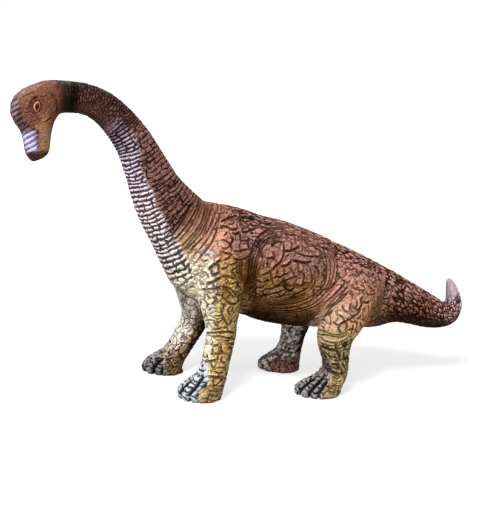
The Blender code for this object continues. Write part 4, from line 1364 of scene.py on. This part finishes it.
def wear_and_highlight_edges(g, moulding, shape, paint, speckle, colour):
    """Paler edges beside the cracks, partly wear of the paint and partly painted highlight, less on dark
    paints.
    """
    edge_colour = g.mix_colour(moulding.leg, WEAR_AND_HIGHLIGHT_BODY, WEAR_AND_HIGHLIGHT_LEG)
    share = g.step(g.split(paint)[0], 0.02, 0.20) * (moulding.leg * 0.3 + 0.24)
    bright = g.mix_colour(share, g.mix_colour(1.0, paint, WEAR_AND_HIGHLIGHT_GAIN, "MULTIPLY"), edge_colour)
    wear_and_highlight = (shape.near - shape.crack) * g.step(speckle, 0.35, 0.6, 0.25, 0.85)
    return g.mix_colour(g.most(wear_and_highlight, 0.0), colour, bright)


def eye_painted(g, colour):
    """Lid, ball and pupil by the distances stored round the eye."""
    across, down, almond = g.split(g.attribute("eye"))
    ball = g.math("ABSOLUTE", across) / 0.72 + g.math("POWER", g.math("ABSOLUTE", down) / 0.76, 2.0)
    pupil = g.length(g.joined(across * 3.4, down * 3.0))
    for gap, full, none, paint in (
            (almond, 0.95, 1.15, EYE_LID), (ball, 0.85, 1.05, EYE_BALL), (pupil, 0.75, 0.95, EYE_PUPIL)):
        colour = g.mix_colour(g.step(gap, full, none, 1.0, 0.0), colour, (*linear(paint), 1))
    return colour


def cut_seams(mesh):
    """Part the skin along the castings' seam planes, within reach of each seam's middle."""
    with edited(mesh) as work:
        for seam in SEAMS:
            middle = Vector(seam.place) * MM
            normal = Vector(seam.normal).normalized()
            near = set()
            for face in work.faces:
                offset = face.calc_center_median() - middle
                if offset.length < seam.reach * MM and abs(offset.dot(normal)) < SEAM_HALF_BAND * MM:
                    near.update((face, *face.verts, *face.edges))
            cut = bmesh.ops.bisect_plane(work, geom=list(near), plane_co=middle, plane_no=normal, dist=1e-7)
            rim = [e for e in cut["geom_cut"] if isinstance(e, bmesh.types.BMEdge)]
            bmesh.ops.split_edges(work, edges=rim)


def close_cut(mesh):
    with edited(mesh) as work:
        bmesh.ops.holes_fill(work, edges=[e for e in work.edges if e.is_boundary], sides=0)


def part_pieces(skin_object, materials):
    """Separate the cut skin and give each piece its casting's name, body, and the material of its casting's
    slot.
    """
    cut_seams(skin_object.data)
    for item in bpy.context.selected_objects:
        item.select_set(False)
    bpy.context.view_layer.objects.active = skin_object
    skin_object.select_set(True)
    bpy.ops.mesh.separate(type="LOOSE")
    pieces = sorted(bpy.context.selected_objects, key=lambda p: -len(p.data.vertices))
    boxes = {name: sum(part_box(name), Vector()) / 2 for name in SLOTS}
    for piece in pieces[:len(SLOTS)]:
        co = mesh_points(piece.data)
        middle = Vector((co.min(0) + co.max(0)) / 2)
        node = min(boxes, key=lambda name: (boxes[name] - middle).length)
        boxes.pop(node)
        close_cut(piece.data)
        piece.name = node + "_skin"
        piece.data.name = piece.name
        piece.data.materials.clear()
        piece.data.materials.append(materials[SLOTS[node]])
        piece.data.shade_smooth()
        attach(piece, "root")
        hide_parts(node)


def make_camera():
    camera = linked("camera", bpy.data.cameras.new("camera"))
    camera.data.sensor_fit = "HORIZONTAL"
    camera.data.sensor_width = SENSOR_WIDTH
    camera.data.lens = FOCAL_PIXELS / PHOTO_WIDTH * SENSOR_WIDTH
    camera.data.clip_end = CLIP_END
    rows = np.stack((*camera_axes(), camera_place() * MM), 1)
    camera.matrix_world = Matrix([*rows.tolist(), (0, 0, 0, 1)])
    bpy.context.scene.camera = camera


def area_light(name, place, size, power):
    light = bpy.data.lights.new(name, "AREA")
    light.shape = "DISK"
    light.size = size
    light.energy = power
    item = linked(name, light)
    item.location = place
    item.rotation_euler = (Vector(LIGHT_AIM) - Vector(place)).to_track_quat("-Z", "Y").to_euler()


def make_sky(scene):
    """An even sky, dimmer as a light than the camera sees it."""
    scene.world = bpy.data.worlds.new("studio")
    scene.world.use_nodes = True
    g = Graph(scene.world.node_tree)
    sky = scene.world.node_tree.nodes["Background"].inputs
    g.put(sky["Strength"], g.mix(g.wire("ShaderNodeLightPath", {}, "Is Camera Ray"), SKY_STRENGTH, 1.0))
    g.put(sky["Color"], (1, 1, 1, 1))


def make_floor():
    """A pale floor that the camera sees as white away from the figure."""
    mesh = bpy.data.meshes.new("floor")
    side = FLOOR_SIDE / 2
    corners = [(-side, -side, 0), (side, -side, 0), (side, side, 0), (-side, side, 0)]
    mesh.from_pydata(corners, [], [(0, 1, 2, 3)])
    floor = linked("floor", mesh)
    material = bpy.data.materials.new("floor")
    g, shader = shader_of(material)
    g.put(shader["Base Color"], (FLOOR_GREY, FLOOR_GREY, FLOOR_GREY, 1))
    g.put(shader["Roughness"], FLOOR_ROUGHNESS)
    g.put(shader["Specular IOR Level"], FLOOR_GLOSS)
    g.put(shader["Emission Color"], (1, 1, 1, 1))
    away = g.length(g.wire("ShaderNodeNewGeometry", {}, "Position"))
    seen = g.wire("ShaderNodeLightPath", {}, "Is Camera Ray")
    g.put(shader["Emission Strength"], seen * g.step(away, *FLOOR_GLOW_REACH, *FLOOR_GLOW))
    floor.data.materials.append(material)


def make_stage():
    """White ground and sky with a soft key light from the upper left."""
    bpy.context.scene.view_settings.view_transform = "Standard"
    make_sky(bpy.context.scene)
    make_floor()
    for name, settings in LIGHTS.items():
        area_light(name, *settings)


def main():
    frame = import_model()
    cad_box = [list(corner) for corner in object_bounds()]
    make_camera()
    skin_object = fused_skin(list(frame["nodes"].values()))
    sculpt(Skin(skin_object.data))
    mould(skin_object)
    co = mesh_points(skin_object.data)
    set_points(skin_object.data, np.clip(co, cad_box[0], cad_box[1]))
    part_pieces(skin_object, {slot: vinyl(*look) for slot, look in VINYLS.items()})
    make_stage()


main()
